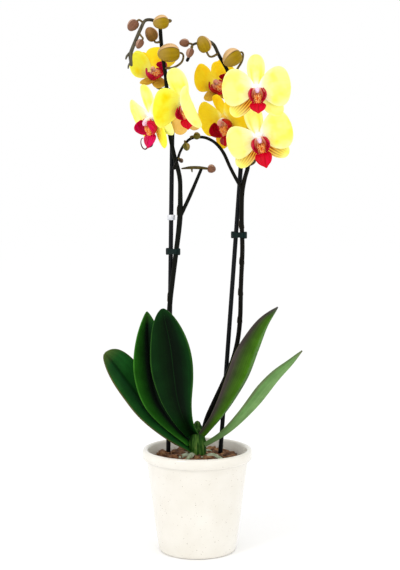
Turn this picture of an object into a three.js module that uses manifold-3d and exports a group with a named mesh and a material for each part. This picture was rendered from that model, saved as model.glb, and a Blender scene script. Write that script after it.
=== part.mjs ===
// A moth orchid in a plain round pot: two flower spikes tied to stakes, seven open blooms,
// their buds, five leaves round a short crown, and bark chips that the thick roots dive into.
// Units are millimetres and +Z is up. The origin is the centre of the pot's flat underside,
// the blooms look towards -Y, and +X is to the right of someone who looks at them.
import * as THREE from "three";
import { mergeVertices } from "three/addons/utils/BufferGeometryUtils.js";
import Module from "manifold-3d";

const wasm = await Module();
wasm.setup();

// ---------------------------------------------------------------- driving dimensions
const GAP = 0.3; // between pieces that touch
const UP = new THREE.Vector3(0, 0, 1);

const POT = { height: 118, mouth: 60, foot: 45, wall: 3, floor: 5, rim: 12, rimOut: 3, sides: 32 };
const DRAIN = { count: 4, ring: 24, radius: 4 };
const BARK = { top: 103, dome: 5, chips: 18, chip: [24, 16, 7], seed: 7 };
const STAKE = { radius: 2.6, sides: 8 };
const CLIP = { wall: 1.4, height: 6, tab: 2.4 };
const BAND = { radius: 4.6, height: 6, at: 384 };
const CROWN = [[98, 8], [108, 11], [124, 11], [140, 8], [150, 4]]; // height, radius
const ROOT = { radius: 2.9, tip: 2, sides: 5 };
const LEAF = { thick: 1.8, foot: 0.32, widest: 0.6, steps: 8, across: 4 };
const STEM = { sides: 6, step: 22, twigSides: 5, twigStep: 14 };
const BLADE = { thick: 0.8 }; // petals, sepals and lip

// ---------------------------------------------------------------- the plant, piece by piece
// Roots: where each dives into the bark, as an angle round the crown and a reach from it.
const ROOTS = [[52, 34], [96, 26], [138, 36], [206, 30], [248, 40], [292, 32], [338, 37]];

// Leaves: the midrib from crown to tip, the full width, how far each half folds up from flat, the
// direction from the left margin to the right one as the upper face sees them, and how fast the
// end narrows: a small first number for a point, a large one for a blunt end.
const LEAVES = {
  leaf_left_low: {
    midrib: [
      [-6, -1, 117], [-28, -5, 133], [-55, -9, 162], [-81, -13, 198], [-97, -17, 221], [-105, -20, 231],
    ],
    width: 50, fold: 22, across: [0.53, 0.7, 0.46], end: [3, 0.45],
  },
  leaf_left_middle: {
    midrib: [
      [-7, -2, 125], [-28, -4, 146], [-47, -8, 176], [-54, -10, 208], [-57, -11, 245], [-57, -14, 278],
    ],
    width: 50, fold: 30, across: [0.94, 0.3, 0.1], end: [1.6, 0.75],
  },
  leaf_left_high: {
    midrib: [
      [-5, -6, 135], [-14, -18, 152], [-22, -27, 178], [-26, -30, 206], [-30, -30, 240], [-39, -31, 283],
    ],
    width: 52, fold: 22, across: [0.98, -0.12, 0.1], end: [1.8, 0.6],
  },
  leaf_right_low: {
    midrib: [[6, -3, 119], [36, -4, 137], [68, -4, 167], [94, -4, 200], [109, -4, 217], [120, -4, 232]],
    width: 38, fold: 38, across: [-0.35, -0.85, 0.25], end: [1.5, 0.85],
  },
  leaf_right_high: {
    midrib: [[5, -4, 131], [27, -14, 160], [51, -19, 202], [64, -21, 236], [76, -22, 263], [90.5, -22, 284]],
    width: 46, fold: 26, across: [-0.56, -0.74, 0.37], end: [1.5, 0.85],
  },
};

// Stakes: foot and head. Each stands in a plain hole in the bark.
const STAKES = {
  stake_left: [[-35.5, 18, 12], [-28.3, 5, 500]],
  stake_right: [[20, 13, 12], [52.5, 8, 484]],
};

// Spikes: each stem is a route of [x, y, z, radius]. Branches start inside the stem that bears them.
const SPIKES = {
  spike_left: {
    trunk: [
      [-5, 7, 122, 3], [-14, 13, 150, 3.1], [-27, 8, 190, 3.1], [-32, 4.5, 239, 3], [-32, 4, 279, 3],
      [-25, 5, 339, 2.9], [-20, 3, 383, 3.3], [-19.5, 1, 413, 2.7], [-20, 0, 429, 2.7],
      [-27.5, -1, 459.5, 2.6], [-32.5, -2, 489, 2.4], [-34.5, -6, 530.5, 2.3], [-36, -9, 547, 2.3],
      [-39, -12, 566.5, 2.2], [-40.5, -16, 583, 2.3], [-42.5, -20, 599, 2], [-49, -22, 602, 1.9],
      [-57, -24, 602, 1.9], [-62, -26, 593, 2], [-69.5, -29, 575, 2.1], [-73.5, -31, 563, 2.4],
      [-72.5, -32, 552, 1.7],
    ],
    branches: [
      [[-19.6, 3, 385, 2.4], [-13, 2, 399, 2.3], [-7, 1, 412, 2.2], [4.5, 0, 439, 1.9]],
      [[-17.5, 0, 439.5, 0.9], [-9, 0, 440.5, 1.8], [2, 0, 440.5, 2], [11.2, 0, 439.5, 1.4]],
      [[-6.5, 0, 440, 1.3], [-6, 0, 436, 0.8]],
      [[-73, -31, 566, 1.6], [-77.5, -30, 562, 1.4], [-78.5, -30, 559, 1]],
      [[-73, -32, 555, 1.5], [-75.5, -32, 551.5, 1.1], [-76, -32, 548.5, 0.8]],
    ],
    nodes: [[-31.3, 4.3, 291], [-19.9, 2.6, 391]],
  },
  spike_right: {
    trunk: [
      [4, 5, 122, 3], [10, 8, 148, 3], [20, 5, 172, 3], [31, 4, 196, 3], [40.5, 5, 219, 2.9],
      [46, 6, 240, 2.8], [49, 5, 265.5, 2.8], [50, 5, 306.5, 2.7], [51.5, 4, 350, 2.7],
      [50.5, 3, 383, 2.7], [51, 2, 413.5, 2.9], [54, 1, 429, 2.6], [57.5, 0, 442, 2.5],
      [57, 0, 455, 2.4], [53, 0, 475, 2.3], [48.5, -1, 492, 2.3], [43, -2, 514, 2.2],
      [39, -4, 531.5, 2.2], [34, -6, 548.5, 2.1], [24, -10, 565.5, 2], [18, -14, 577, 2],
      [12, -17, 580, 1.7], [3, -19, 578, 1.6], [-6, -22, 575, 1.4], [-7, -23, 567, 1.3],
      [-11, -25, 558, 1.9],
    ],
    branches: [
      [
        [51, 2, 416, 2.2], [44.5, 0, 427, 2.1], [37, -3, 441, 2], [29.5, -6, 457, 2],
        [22, -8, 466.5, 1.9], [14, -9, 472, 1.9], [6.5, -10, 474.3, 1.8], [-7, -10, 473, 1.7],
        [-14, -9, 467, 1.6], [-19, -9, 459, 1.6], [-23, -9, 447, 1.5], [-26, -9, 440, 2.2],
      ],
    ],
    nodes: [[49, 5, 266], [49.8, 5, 297], [50.9, 4.4, 334], [50.8, 3.3, 376]],
  },
};

// Blooms: the centre of the face, the way it looks (yaw to +X, pitch down, roll anticlockwise as
// seen from the front), its share of full size and the pedicel's start and bends. A young bloom is
// still cupped: folds gives how many degrees a blade folds forward, curls how many more it bends on
// its way to the tip, turns how far it is askew and grow its share of full size. Of the lip, ears
// gives how far the left and the right side lobe lean out, and lobe the middle lobe's length.
const BLOOMS = {
  bloom_left_top: {
    spike: "spike_left", centre: [-50, 15, 547.5], yaw: -10, pitch: -38, roll: 5,
    size: 0.86, lipSize: 1.1, ears: [6, 30], lobe: 0.7,
    folds: { left_petal: 50, right_petal: 20, dorsal_sepal: 18, left_sepal: 26, right_sepal: 14 },
    turns: {
      lip: 32, left_petal: -10, right_petal: 62, dorsal_sepal: 30, left_sepal: 20, right_sepal: -20,
    },
    grow: { left_sepal: 0.75, right_sepal: 0.8 },
    pedicel: [[-35, -6.5, 529], [-40, 2, 529], [-47, 13, 533]],
  },
  bloom_left_middle: {
    spike: "spike_left", centre: [-13.5, -36, 509.5], yaw: -12, pitch: 26, roll: 26,
    size: 1.08, lipSize: 0.81, ears: [8, 6], lobe: 1,
    folds: { left_petal: 48, right_petal: 33, dorsal_sepal: -6, right_sepal: -10 },
    curls: { right_petal: 115 },
    turns: { right_petal: -12, left_petal: -28, dorsal_sepal: -10, right_sepal: -58, lip: -14 },
    grow: { left_sepal: 0.88, right_sepal: 0.8 },
    pedicel: [[-34, -5, 524], [-28, -8, 530], [-18, -18, 524]],
  },
  bloom_left_low: {
    spike: "spike_left", centre: [-52.5, 5, 498], yaw: -50, pitch: 30, roll: -6,
    size: 1, lipSize: 1.08, ears: [20, 20], lobe: 1,
    folds: { left_petal: -8, right_petal: 8, dorsal_sepal: -8, right_sepal: 24 },
    turns: { left_petal: 8, right_sepal: -8 },
    pedicel: [[-34, -4, 520], [-37, 3, 524], [-38, 14, 516]],
  },
  bloom_right_top: {
    spike: "spike_right", centre: [21.5, 23, 535.5], yaw: -10, pitch: -26, roll: 5,
    size: 0.9, lipSize: 1.1, ears: [6, 44], lobe: 0.7,
    folds: { left_petal: 52, right_petal: 22, dorsal_sepal: 12, left_sepal: 24, right_sepal: 10 },
    turns: {
      lip: 32, left_petal: -8, right_petal: 54, dorsal_sepal: -20, left_sepal: 22, right_sepal: -4,
    },
    grow: { left_petal: 0.92, right_petal: 0.78, left_sepal: 0.73, right_sepal: 0.68 },
    pedicel: [[41, -3, 524], [43, 10, 523], [38, 26, 527], [30, 33, 530]],
  },
  bloom_right_middle: {
    spike: "spike_right", centre: [31, 0, 495.5], yaw: -42, pitch: 20, roll: 16,
    size: 0.96, lipSize: 1.1, ears: [24, 26], lobe: 0.9,
    turns: { left_petal: -14 },
    grow: { left_petal: 1.02, dorsal_sepal: 0.78 },
    pedicel: [[53.7, 0, 471], [49, 5, 482], [41, 11, 497]],
  },
  bloom_right_front_high: {
    spike: "spike_right", centre: [64.5, -47, 525], yaw: 2, pitch: 6, roll: 2,
    size: 0.96, lipSize: 1, ears: [0, 0], lobe: 1,
    pedicel: [[38, -4, 534], [47, -12, 534], [60, -26, 530]],
  },
  bloom_right_front_low: {
    spike: "spike_right", centre: [67.5, -27, 474], yaw: 4, pitch: 17, roll: 15,
    size: 1, lipSize: 1, ears: [0, 0], lobe: 1.3,
    turns: { left_petal: 6 },
    grow: { left_petal: 0.9 },
    pedicel: [[57.5, 0, 443], [64, -7, 446], [67, -14.5, 458]],
  },
};

// Buds: where the stalk meets the bud, its tip, its width, and the stalk's start and bends.
const BUDS = {
  bud_left_tip: {
    spike: "spike_left", base: [-31.5, -30, 599], tip: [-48.5, -34, 597], width: 16, slot: "bud_olive",
    stalk: [[-42, -20, 598, 1.6], [-34, -22, 602, 1.4], [-29, -27, 601, 1.3]],
  },
  bud_left_big: {
    spike: "spike_left", base: [-19.5, -24, 566], tip: [-44, -27, 564.5], width: 21, slot: "bud_olive",
    stalk: [[-37, -10, 551, 1.5], [-27, -14, 551, 1.4], [-17, -20, 557, 1.3], [-15.5, -23, 564, 1.2]],
  },
  bud_left_inner: {
    spike: "spike_left", base: [-47.5, -19, 580], tip: [-55, -23, 594], width: 14, slot: "bud_brown",
    stalk: [[-40.3, -15, 580, 1.5], [-44, -17, 578.5, 1.3]],
  },
  bud_left_outer: {
    spike: "spike_left", base: [-66, -26, 600.5], tip: [-76, -24, 591], width: 12, slot: "bud_brown",
    stalk: [[-60, -25, 599, 1.3], [-63, -26, 601.5, 1.2]],
  },
  bud_left_small: {
    spike: "spike_left", base: [-60.5, -30, 579.5], tip: [-66, -32, 570], width: 8.5, slot: "bud_brown",
    stalk: [[-64, -27, 587, 1.2], [-61.5, -29, 583.5, 1.1]],
  },
  bud_left_side: {
    spike: "spike_left", base: [11.5, 0, 439.5], tip: [21, 0, 438.5], width: 10, slot: "bud_brown",
    stalk: [],
  },
  bud_right_tip: {
    spike: "spike_right", base: [10.5, -28, 566.5], tip: [3, -30.5, 583.5], width: 16, slot: "bud_olive",
    stalk: [[23, -10.5, 567, 1.5], [17, -17, 563, 1.3], [13, -25, 562.5, 1.2]],
  },
  bud_right_big: {
    spike: "spike_right", base: [47.5, -17, 567], tip: [29.5, -21, 554.5], width: 20.5, slot: "bud_olive",
    stalk: [[38, -5, 535, 1.5], [44, -7, 549, 1.4], [50, -10, 559, 1.3], [51, -14, 566.5, 1.2]],
  },
  bud_right_outer: {
    spike: "spike_right", base: [-9, -23, 576.5], tip: [-20, -23, 577.5], width: 9.5, slot: "bud_brown",
    stalk: [[-5, -21.5, 575.5, 1.3]],
  },
  bud_right_small: {
    spike: "spike_right", base: [-6, -30.5, 570], tip: [-10, -32.5, 560], width: 8.5, slot: "bud_brown",
    stalk: [[-6.2, -22.5, 573, 1.2], [-5.6, -27.5, 573, 1.1]],
  },
  bud_arc_top: {
    spike: "spike_right", base: [-4, -16, 475], tip: [3.5, -17.5, 475.5], width: 8.5, slot: "bud_olive",
    stalk: [[-7, -10, 473, 1.4], [-7.5, -13.5, 474.5, 1.2]],
  },
  bud_arc_middle: {
    spike: "spike_right", base: [-13.5, -15, 467.5], tip: [-11, -16.5, 459], width: 8, slot: "bud_olive",
    stalk: [[-13.5, -9, 467.5, 1.3], [-14, -12.5, 470, 1.1]],
  },
  bud_arc_low: {
    spike: "spike_right", base: [-20, -10.5, 450], tip: [-16.5, -12, 446], width: 5, slot: "bud_brown",
    stalk: [[-22.5, -9, 450, 1.2], [-21, -10, 450.6, 1]],
  },
};

// ---------------------------------------------------------------- one bloom, seen from the front
// Full-size sepals and petals, as the direction of the midrib, the length and width, the narrow
// claw at the centre, how far the belly sits towards the tip, the depth at the centre, and how the
// blade lifts along its length, cups across its width and waves at its margins.
const TEPALS = {
  dorsal_sepal: {
    turn: 90, length: 35, width: 20, claw: 6, belly: 0.1, depth: -1.6, lift: 0, arch: 1, cup: -1, wave: 0,
  },
  left_sepal: {
    turn: -134, length: 38, width: 21, claw: 6, belly: 0.05,
    depth: -1.6, lift: -1, arch: 0, cup: -1, wave: 0,
  },
  right_sepal: {
    turn: -46, length: 38, width: 21, claw: 6, belly: 0.05,
    depth: -1.6, lift: -1, arch: 0, cup: -1, wave: 0,
  },
  left_petal: {
    turn: 176, length: 36, width: 40, claw: 5, belly: 0.3,
    depth: 0.4, lift: 3, arch: -3, cup: -0.8, wave: 1,
  },
  right_petal: {
    turn: 4, length: 36, width: 43, claw: 5, belly: 0.3,
    depth: 0.4, lift: 3, arch: -3, cup: -0.8, wave: 1,
  },
};
const HUB = { radius: 5.6, depth: 3.4, back: 3.4 }; // where the five blades and the pedicel meet
const TIP_WIDTH = 2.4;
const ROOT_REACH = 3; // where a blade starts, inside the disc that all five grow from
const HINGE = 4.5; // a cupped blade folds forward at this distance from the centre
const COLUMN = { from: [0, -0.5, 3.8], to: [0, -3, 11], radius: 2.7, cap: 3.2 };
// The lip, drawn in its own frame: side lobes stand up on both sides of the column, and the middle
// lobe runs forward and down to a point.
const LIP = {
  foot: [[0, -4.8, 4, 1.6], [0, -9, 5.6, 2.6], [0, -15, 8.5, 3]],
  callus: { at: [0, -12, 9.2], size: [4.4, 4.2, 3] },
  side: { x: 3.8, bulge: 5.2, root: [-15.5, 8], tip: [0.5, 12.6], width: 12.5 },
  middle: { start: [-15, 8], reach: [-12.5, 10.5], width: 20, curl: 2.4, peak: 0.4 },
};

// ---------------------------------------------------------------- solids and meshes
const vector = ([x, y, z]) => new THREE.Vector3(x, y, z);
const clamp = THREE.MathUtils.clamp;
const radians = THREE.MathUtils.degToRad;

// A closed geometry as a manifold solid, its shared vertices merged.
function solid(geometry) {
  const bare = geometry.index ? geometry.toNonIndexed() : geometry.clone();
  for (const name of Object.keys(bare.attributes)) if (name !== "position") bare.deleteAttribute(name);
  const merged = mergeVertices(bare, 1e-3);
  const triVerts = new Uint32Array(merged.index.array);
  return new wasm.Manifold(
    new wasm.Mesh({ numProp: 3, vertProperties: merged.attributes.position.array, triVerts }),
  );
}

// The largest body of a solid: a cut can leave a loose scrap, which the real thing doesn't have.
function whole(made) {
  const bodies = made.decompose();
  return bodies.reduce((a, b) => (b.volume() > a.volume() ? b : a));
}

function geometryOf(made) {
  const mesh = made.getMesh();
  const geometry = new THREE.BufferGeometry();
  geometry.setAttribute("position", new THREE.BufferAttribute(mesh.vertProperties, 3));
  geometry.setIndex(new THREE.BufferAttribute(mesh.triVerts, 1));
  geometry.computeVertexNormals();
  return geometry;
}

const fuse = (solids) => solids.reduce((a, b) => a.add(b));
const cut = (body, ...tools) => tools.reduce((a, b) => a.subtract(b), body);

const FINISHES = {
  pot_glaze: { color: 0xe9e5dc, roughness: 0.3, metalness: 0 },
  bark: { color: 0x6b4a30, roughness: 0.95, metalness: 0 },
  root_green: { color: 0x8f9a78, roughness: 0.8, metalness: 0 },
  leaf_green: { color: 0x1d4a1c, roughness: 0.4, metalness: 0 },
  stem_green: { color: 0x2e3023, roughness: 0.6, metalness: 0 },
  petal_yellow: { color: 0xf6e64a, roughness: 0.6, metalness: 0 },
  lip_red: { color: 0xb80a2c, roughness: 0.5, metalness: 0 },
  column_white: { color: 0xf5e3ea, roughness: 0.5, metalness: 0 },
  bud_olive: { color: 0xa38c36, roughness: 0.6, metalness: 0 },
  bud_brown: { color: 0x8a5a44, roughness: 0.6, metalness: 0 },
  stake_black: { color: 0x14181c, roughness: 0.4, metalness: 0 },
  clip_green: { color: 0x12302c, roughness: 0.4, metalness: 0 },
  band_clear: { color: 0xd9dade, roughness: 0.2, metalness: 0 },
};
const material = ([slot, look]) => [slot, new THREE.MeshStandardMaterial({ name: slot, ...look })];
const materials = Object.fromEntries(Object.entries(FINISHES).map(material));

function piece(name, made, slot) {
  const mesh = new THREE.Mesh(geometryOf(made), materials[slot]);
  mesh.name = name;
  return mesh;
}

// A round rod along a smooth route: a cylinder bent to the curve. The route's points are
// [x, y, z, radius]. Every point gets a ring, with more where they lie further apart than a step.
function rod(route, sides, step, grow = 0) {
  const curve = new THREE.CatmullRomCurve3(route.map(vector), false, "centripetal");
  const stops = [0];
  for (let i = 1; i < route.length; i++) {
    const parts = Math.ceil(vector(route[i]).distanceTo(vector(route[i - 1])) / step);
    for (let k = 1; k <= parts; k++) stops.push((i - 1 + k / parts) / (route.length - 1));
  }
  const steps = stops.length - 1;
  const tangents = stops.map((t) => curve.getTangent(t));
  const normals = normalsAlong(tangents);
  const shape = new THREE.CylinderGeometry(1, 1, 1, sides, steps);
  const position = shape.getAttribute("position");
  const point = new THREE.Vector3();
  for (let i = 0; i < position.count; i++) {
    const ring = Math.round((position.getY(i) + 0.5) * steps);
    const radius = radiusAt(route, stops[ring]) + grow;
    curve.getPoint(stops[ring], point);
    point.addScaledVector(normals[ring], position.getX(i) * radius);
    point.addScaledVector(normals[ring].clone().cross(tangents[ring]), position.getZ(i) * radius);
    if (ring === 0) point.addScaledVector(tangents[ring], -grow);
    if (ring === steps) point.addScaledVector(tangents[ring], grow);
    position.setXYZ(i, point.x, point.y, point.z);
  }
  return solid(shape);
}

// Directions square to the curve that turn as little as they can from ring to ring.
function normalsAlong(tangents) {
  let normal = Math.abs(tangents[0].y) < 0.9 ? new THREE.Vector3(0, 1, 0) : new THREE.Vector3(1, 0, 0);
  return tangents.map((tangent) => {
    normal = normal.clone().addScaledVector(tangent, -normal.dot(tangent)).normalize();
    return normal;
  });
}

function radiusAt(route, t) {
  const place = t * (route.length - 1);
  const i = Math.min(Math.floor(place + 1e-9), route.length - 2);
  return THREE.MathUtils.lerp(route[i][3], route[i + 1][3], place - i);
}

// A thin closed blade. pointAt(t, v) is its middle surface, t from foot to tip and v from -1 to 1
// across. Both faces are split into the same triangles, so that they can't cross.
function blade(pointAt, steps, across, thick) {
  const rows = steps + 1;
  const columns = across + 1;
  const places = [];
  for (let i = 0; i < rows; i++) {
    for (let j = 0; j < columns; j++) {
      places.push([i / steps, (2 * j) / across - 1]);
    }
  }
  const faces = [1, -1].map((side) => places.map(([t, v]) => offset(pointAt, t, v, (side * thick) / 2)));
  const position = faces.flat().flatMap((p) => [p.x, p.y, p.z]);
  const index = [];
  const under = rows * columns;
  const quad = (a, b, c, d) => index.push(a, b, c, a, c, d);
  for (let i = 0; i < steps; i++) {
    for (let j = 0; j < across; j++) {
      const a = i * columns + j;
      const [b, c, d] = [a + 1, a + columns + 1, a + columns];
      index.push(a, b, c, a, c, d);
      index.push(under + a, under + c, under + b, under + a, under + d, under + c);
    }
    const left = i * columns;
    const right = left + across;
    quad(left, left + columns, under + left + columns, under + left);
    quad(right, under + right, under + right + columns, right + columns);
  }
  for (let j = 0; j < across; j++) {
    const tip = steps * columns + j;
    quad(j, under + j, under + j + 1, j + 1);
    quad(tip, tip + 1, under + tip + 1, under + tip);
  }
  const shape = new THREE.BufferGeometry();
  shape.setAttribute("position", new THREE.Float32BufferAttribute(position, 3));
  shape.setIndex(index);
  const made = solid(shape);
  return made.volume() < 0 ? solid(flipped(shape)) : made;
}

// The middle surface's point moved along the surface's normal.
function offset(pointAt, t, v, distance) {
  const e = 0.01;
  const along = pointAt(Math.min(t + e, 1), v).sub(pointAt(Math.max(t - e, 0), v));
  const side = pointAt(t, Math.min(v + e, 1)).sub(pointAt(t, Math.max(v - e, -1)));
  const normal = along.cross(side).normalize();
  return pointAt(t, v).addScaledVector(normal, distance);
}

function flipped(shape) {
  const turned = shape.clone();
  const index = turned.index.array;
  for (let i = 0; i < index.length; i += 3) {
    [index[i + 1], index[i + 2]] = [index[i + 2], index[i + 1]];
  }
  return turned;
}

// A solid of revolution about +Z from [height, radius] pairs, closed on the axis.
function turned(profile, sides, grow = 0) {
  const points = profile.map(([height, radius]) => new THREE.Vector2(radius + grow, height));
  const closed = [new THREE.Vector2(0, points[0].y - grow), ...points];
  closed.push(new THREE.Vector2(0, points.at(-1).y + grow));
  return solid(new THREE.LatheGeometry(closed, sides).rotateX(Math.PI / 2));
}

// Repeatable random numbers from 0 to 1.
function randomFrom(seed) {
  let state = seed;
  return () => {
    state = (state * 16807) % 2147483647;
    return state / 2147483647;
  };
}

// ---------------------------------------------------------------- pot, bark, crown and roots
function innerRadius(height) {
  return THREE.MathUtils.lerp(POT.foot, POT.mouth, height / POT.height) - POT.wall;
}

function makePot() {
  const { height, mouth, foot, wall, floor, rim, rimOut, sides } = POT;
  const atRim = THREE.MathUtils.lerp(foot, mouth, (height - rim) / height);
  const outline = [
    [0, 0], [foot - 2, 0], [foot, 2], [atRim, height - rim], [mouth + rimOut, height - rim + 1.5],
    [mouth + rimOut, height - 2], [mouth + rimOut - 2, height], [mouth - wall + 1.5, height],
    [innerRadius(height), height - 2], [innerRadius(floor), floor], [0, floor],
  ];
  const points = outline.map(([radius, z]) => new THREE.Vector2(radius, z));
  const shell = solid(new THREE.LatheGeometry(points, sides).rotateX(Math.PI / 2));
  const holes = Array.from({ length: DRAIN.count }, (_, i) => {
    const angle = ((i + 0.5) * 2 * Math.PI) / DRAIN.count;
    const hole = new THREE.CylinderGeometry(DRAIN.radius, DRAIN.radius, 3 * floor, 8).rotateX(Math.PI / 2);
    return solid(hole.translate(DRAIN.ring * Math.cos(angle), DRAIN.ring * Math.sin(angle), floor / 2));
  });
  return cut(shell, ...holes);
}

// The fill's outer shape follows the pot, and seeded chips lie on its domed top.
function makeBark(holes) {
  const low = POT.floor + GAP;
  const fill = turned(
    [[low, innerRadius(low)], [BARK.top, innerRadius(BARK.top)], [BARK.top + BARK.dome, 18]], POT.sides,
  );
  const random = randomFrom(BARK.seed);
  const reach = innerRadius(BARK.top) - BARK.chip[0] / 2 - 2;
  const chips = Array.from({ length: BARK.chips }, (_, i) => {
    const distance = reach * Math.sqrt((i + 0.5) / BARK.chips);
    const angle = i * 2.4 + random() * 0.5; // a sunflower spiral spreads them evenly
    const height = BARK.top + BARK.dome * (1 - distance / reach) - 0.5 + 2 * random();
    const size = BARK.chip.map((length) => length * (0.75 + 0.5 * random()));
    const chip = new THREE.BoxGeometry(...size);
    chip.rotateX((random() - 0.5) * 0.9).rotateY((random() - 0.5) * 0.9).rotateZ(random() * Math.PI);
    return solid(chip.translate(distance * Math.cos(angle), distance * Math.sin(angle), height));
  });
  const inside = turned(
    [[low, innerRadius(low) - GAP], [POT.height + 9, innerRadius(POT.height + 9) - GAP]], POT.sides,
  );
  return whole(cut(fuse([fill, ...chips]).intersect(inside), ...holes));
}

// The short stem of the plant with its roots, which arch out and dive into the bark.
function makeCrown(grow = 0) {
  const stem = turned(CROWN, 10, grow);
  const roots = ROOTS.map(([degrees, reach], i) => {
    const [c, s] = [Math.cos(radians(degrees)), Math.sin(radians(degrees))];
    const shoulder = 111 + 3 * Math.sin(i * 2.1);
    const route = [
      [4 * c, 4 * s, 104, ROOT.radius], [0.45 * reach * c, 0.45 * reach * s, shoulder, ROOT.radius],
      [0.85 * reach * c, 0.85 * reach * s, 105, ROOT.radius], [reach * c, reach * s, 88, ROOT.tip],
    ];
    return rod(route, ROOT.sides, 20, grow);
  });
  return fuse([stem, ...roots]);
}

// ---------------------------------------------------------------- leaves
function leafShare(s, [power, edge]) {
  const foot = LEAF.foot + (1 - LEAF.foot) * THREE.MathUtils.smoothstep(s, 0, LEAF.widest);
  const past = clamp((s - LEAF.widest) / (1 - LEAF.widest), 0, 1);
  return foot * (1 - past ** power) ** edge;
}

// A leaf is folded along its midrib like a shallow gutter.
function makeLeaf({ midrib, width, fold, across, end }) {
  const curve = new THREE.CatmullRomCurve3(midrib.map(vector), false, "centripetal");
  const pointAt = (t, v) => {
    const s = 1 - (1 - t) ** 1.5;
    const tangent = curve.getTangentAt(s);
    const side = vector(across).addScaledVector(tangent, -vector(across).dot(tangent)).normalize();
    const upper = side.clone().cross(tangent);
    const half = Math.max((width / 2) * leafShare(s, end), 1);
    const gutter = Math.sqrt(v * v + 0.02) - Math.sqrt(0.02);
    const point = curve.getPointAt(s);
    point.addScaledVector(side, half * v * Math.cos(radians(fold)));
    return point.addScaledVector(upper, half * gutter * Math.sin(radians(fold)));
  };
  return blade(pointAt, LEAF.steps, LEAF.across, LEAF.thick);
}

// ---------------------------------------------------------------- spikes, pedicels and stalks
// A turned group gives the way a bloom looks: local +Z comes out of its face and +Y is its top.
function facing({ yaw, pitch, roll }) {
  const turn = new THREE.Matrix4().makeRotationZ(radians(yaw));
  turn.multiply(new THREE.Matrix4().makeRotationX(radians(90 + pitch)));
  return turn.multiply(new THREE.Matrix4().makeRotationZ(radians(roll)));
}

function pedicelRoute(bloom) {
  const out = new THREE.Vector3(0, 0, 1).transformDirection(facing(bloom));
  const back = (distance) => {
    const point = vector(bloom.centre).addScaledVector(out, -distance * bloom.size);
    return [point.x, point.y, point.z];
  };
  const bends = bloom.pedicel.map((point) => [...point, 1.5]);
  return [...bends, [...back(9), 1.6], [...back(HUB.back + GAP / bloom.size), 1.8]];
}

function stalkRoute({ base, tip, stalk }) {
  const away = vector(base).sub(vector(tip)).normalize();
  const last = [1.8, GAP].map((distance) => vector(base).addScaledVector(away, distance));
  return [...stalk, ...last.map((point) => [point.x, point.y, point.z, 1.2])];
}

// The sheath scale that wraps a spike at a node: a short cone round the stem.
function nodeScale([x, y, z]) {
  const cone = new THREE.CylinderGeometry(3.1, 3.6, 7, STEM.sides).rotateX(Math.PI / 2);
  return solid(cone.translate(x, y, z));
}

function makeSpike(name) {
  const { trunk, branches, nodes } = SPIKES[name];
  const own = (pieces) => Object.values(pieces).filter((p) => p.spike === name);
  const stalked = own(BUDS).filter((bud) => bud.stalk.length);
  return fuse([
    rod(trunk, STEM.sides, STEM.step),
    ...branches.map((route) => rod(route, STEM.sides, STEM.step)),
    ...own(BLOOMS).map((bloom) => rod(pedicelRoute(bloom), STEM.twigSides, STEM.twigStep)),
    ...stalked.map((bud) => rod(stalkRoute(bud), STEM.twigSides, STEM.twigStep)),
    ...nodes.map(nodeScale),
  ]);
}

// A bud is an egg with a blunt foot and a slightly pointed tip.
function makeBud({ base, tip, width }) {
  const axis = vector(tip).sub(vector(base));
  const outline = [[0, 0.35], [0.16, 0.77], [0.45, 1], [0.76, 0.74], [0.96, 0.25]];
  const profile = outline.map(([share, fat]) => [share * axis.length(), (fat * width) / 2]);
  const egg = turned(profile, 7);
  const turn = new THREE.Quaternion().setFromUnitVectors(UP, axis.clone().normalize());
  const place = new THREE.Matrix4().compose(vector(base), turn, new THREE.Vector3(1, 1, 1));
  return egg.transform(place.elements);
}

// ---------------------------------------------------------------- blooms
// Local frame: +X to the right of the face, +Y to its top, +Z out towards the viewer.
function tepal({ turn, length, width, claw, belly, depth, lift, arch, cup, wave, fold, curl }) {
  const [c, s] = [Math.cos(radians(turn)), Math.sin(radians(turn))];
  const [start, rate] = [radians(fold), radians(curl) / length];
  const pointAt = (t, v) => {
    const share = (1 - Math.cos(Math.PI * t)) / 2;
    const round = Math.sin(Math.PI * t) * (1 - belly * Math.cos(Math.PI * t));
    const half = ((width - claw * (1 - t) ** 2) * round + claw * (1 - t) ** 2 + TIP_WIDTH * t * t) / 2;
    const reach = ROOT_REACH + length * share - HINGE;
    const ripple = wave * v * v * Math.sin(2.5 * Math.PI * share + v);
    const out = lift * share + arch * share * share + cup * round * v * v + ripple;
    const here = start + rate * Math.max(reach, 0);
    const bent = rate && reach > 0;
    const run = bent ? (Math.sin(here) - Math.sin(start)) / rate : reach * Math.cos(start);
    const rise = bent ? (Math.cos(start) - Math.cos(here)) / rate : reach * Math.sin(start);
    const along = HINGE + run - out * Math.sin(here);
    const height = depth + rise + out * Math.cos(here);
    return new THREE.Vector3(c * along - s * half * v, s * along + c * half * v, height);
  };
  const broad = width > 30;
  return blade(pointAt, broad ? 6 : 5, 2, BLADE.thick);
}

function makeTepals({ folds = {}, curls = {}, turns = {}, grow = {} }) {
  const hub = new THREE.SphereGeometry(1, 8, 4).scale(HUB.radius, HUB.radius, HUB.depth);
  const blades = Object.entries(TEPALS).map(([name, spec]) => {
    const share = grow[name] ?? 1;
    const [length, width] = [spec.length * share, spec.width * share];
    const [fold, curl, turn] = [folds[name] ?? 0, curls[name] ?? 0, spec.turn + (turns[name] ?? 0)];
    return tepal({ ...spec, length, width, fold, curl, turn });
  });
  return fuse([solid(hub), ...blades]);
}

function makeColumn(grow = 0) {
  const { from, to, radius, cap } = COLUMN;
  const end = [0, to[1] - 0.9, to[2] + 2, cap * 0.6];
  const route = [[...from, radius], [0, -1, 7.5, radius], [...to, cap], end];
  return rod(route, 7, 9, grow);
}

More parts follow.
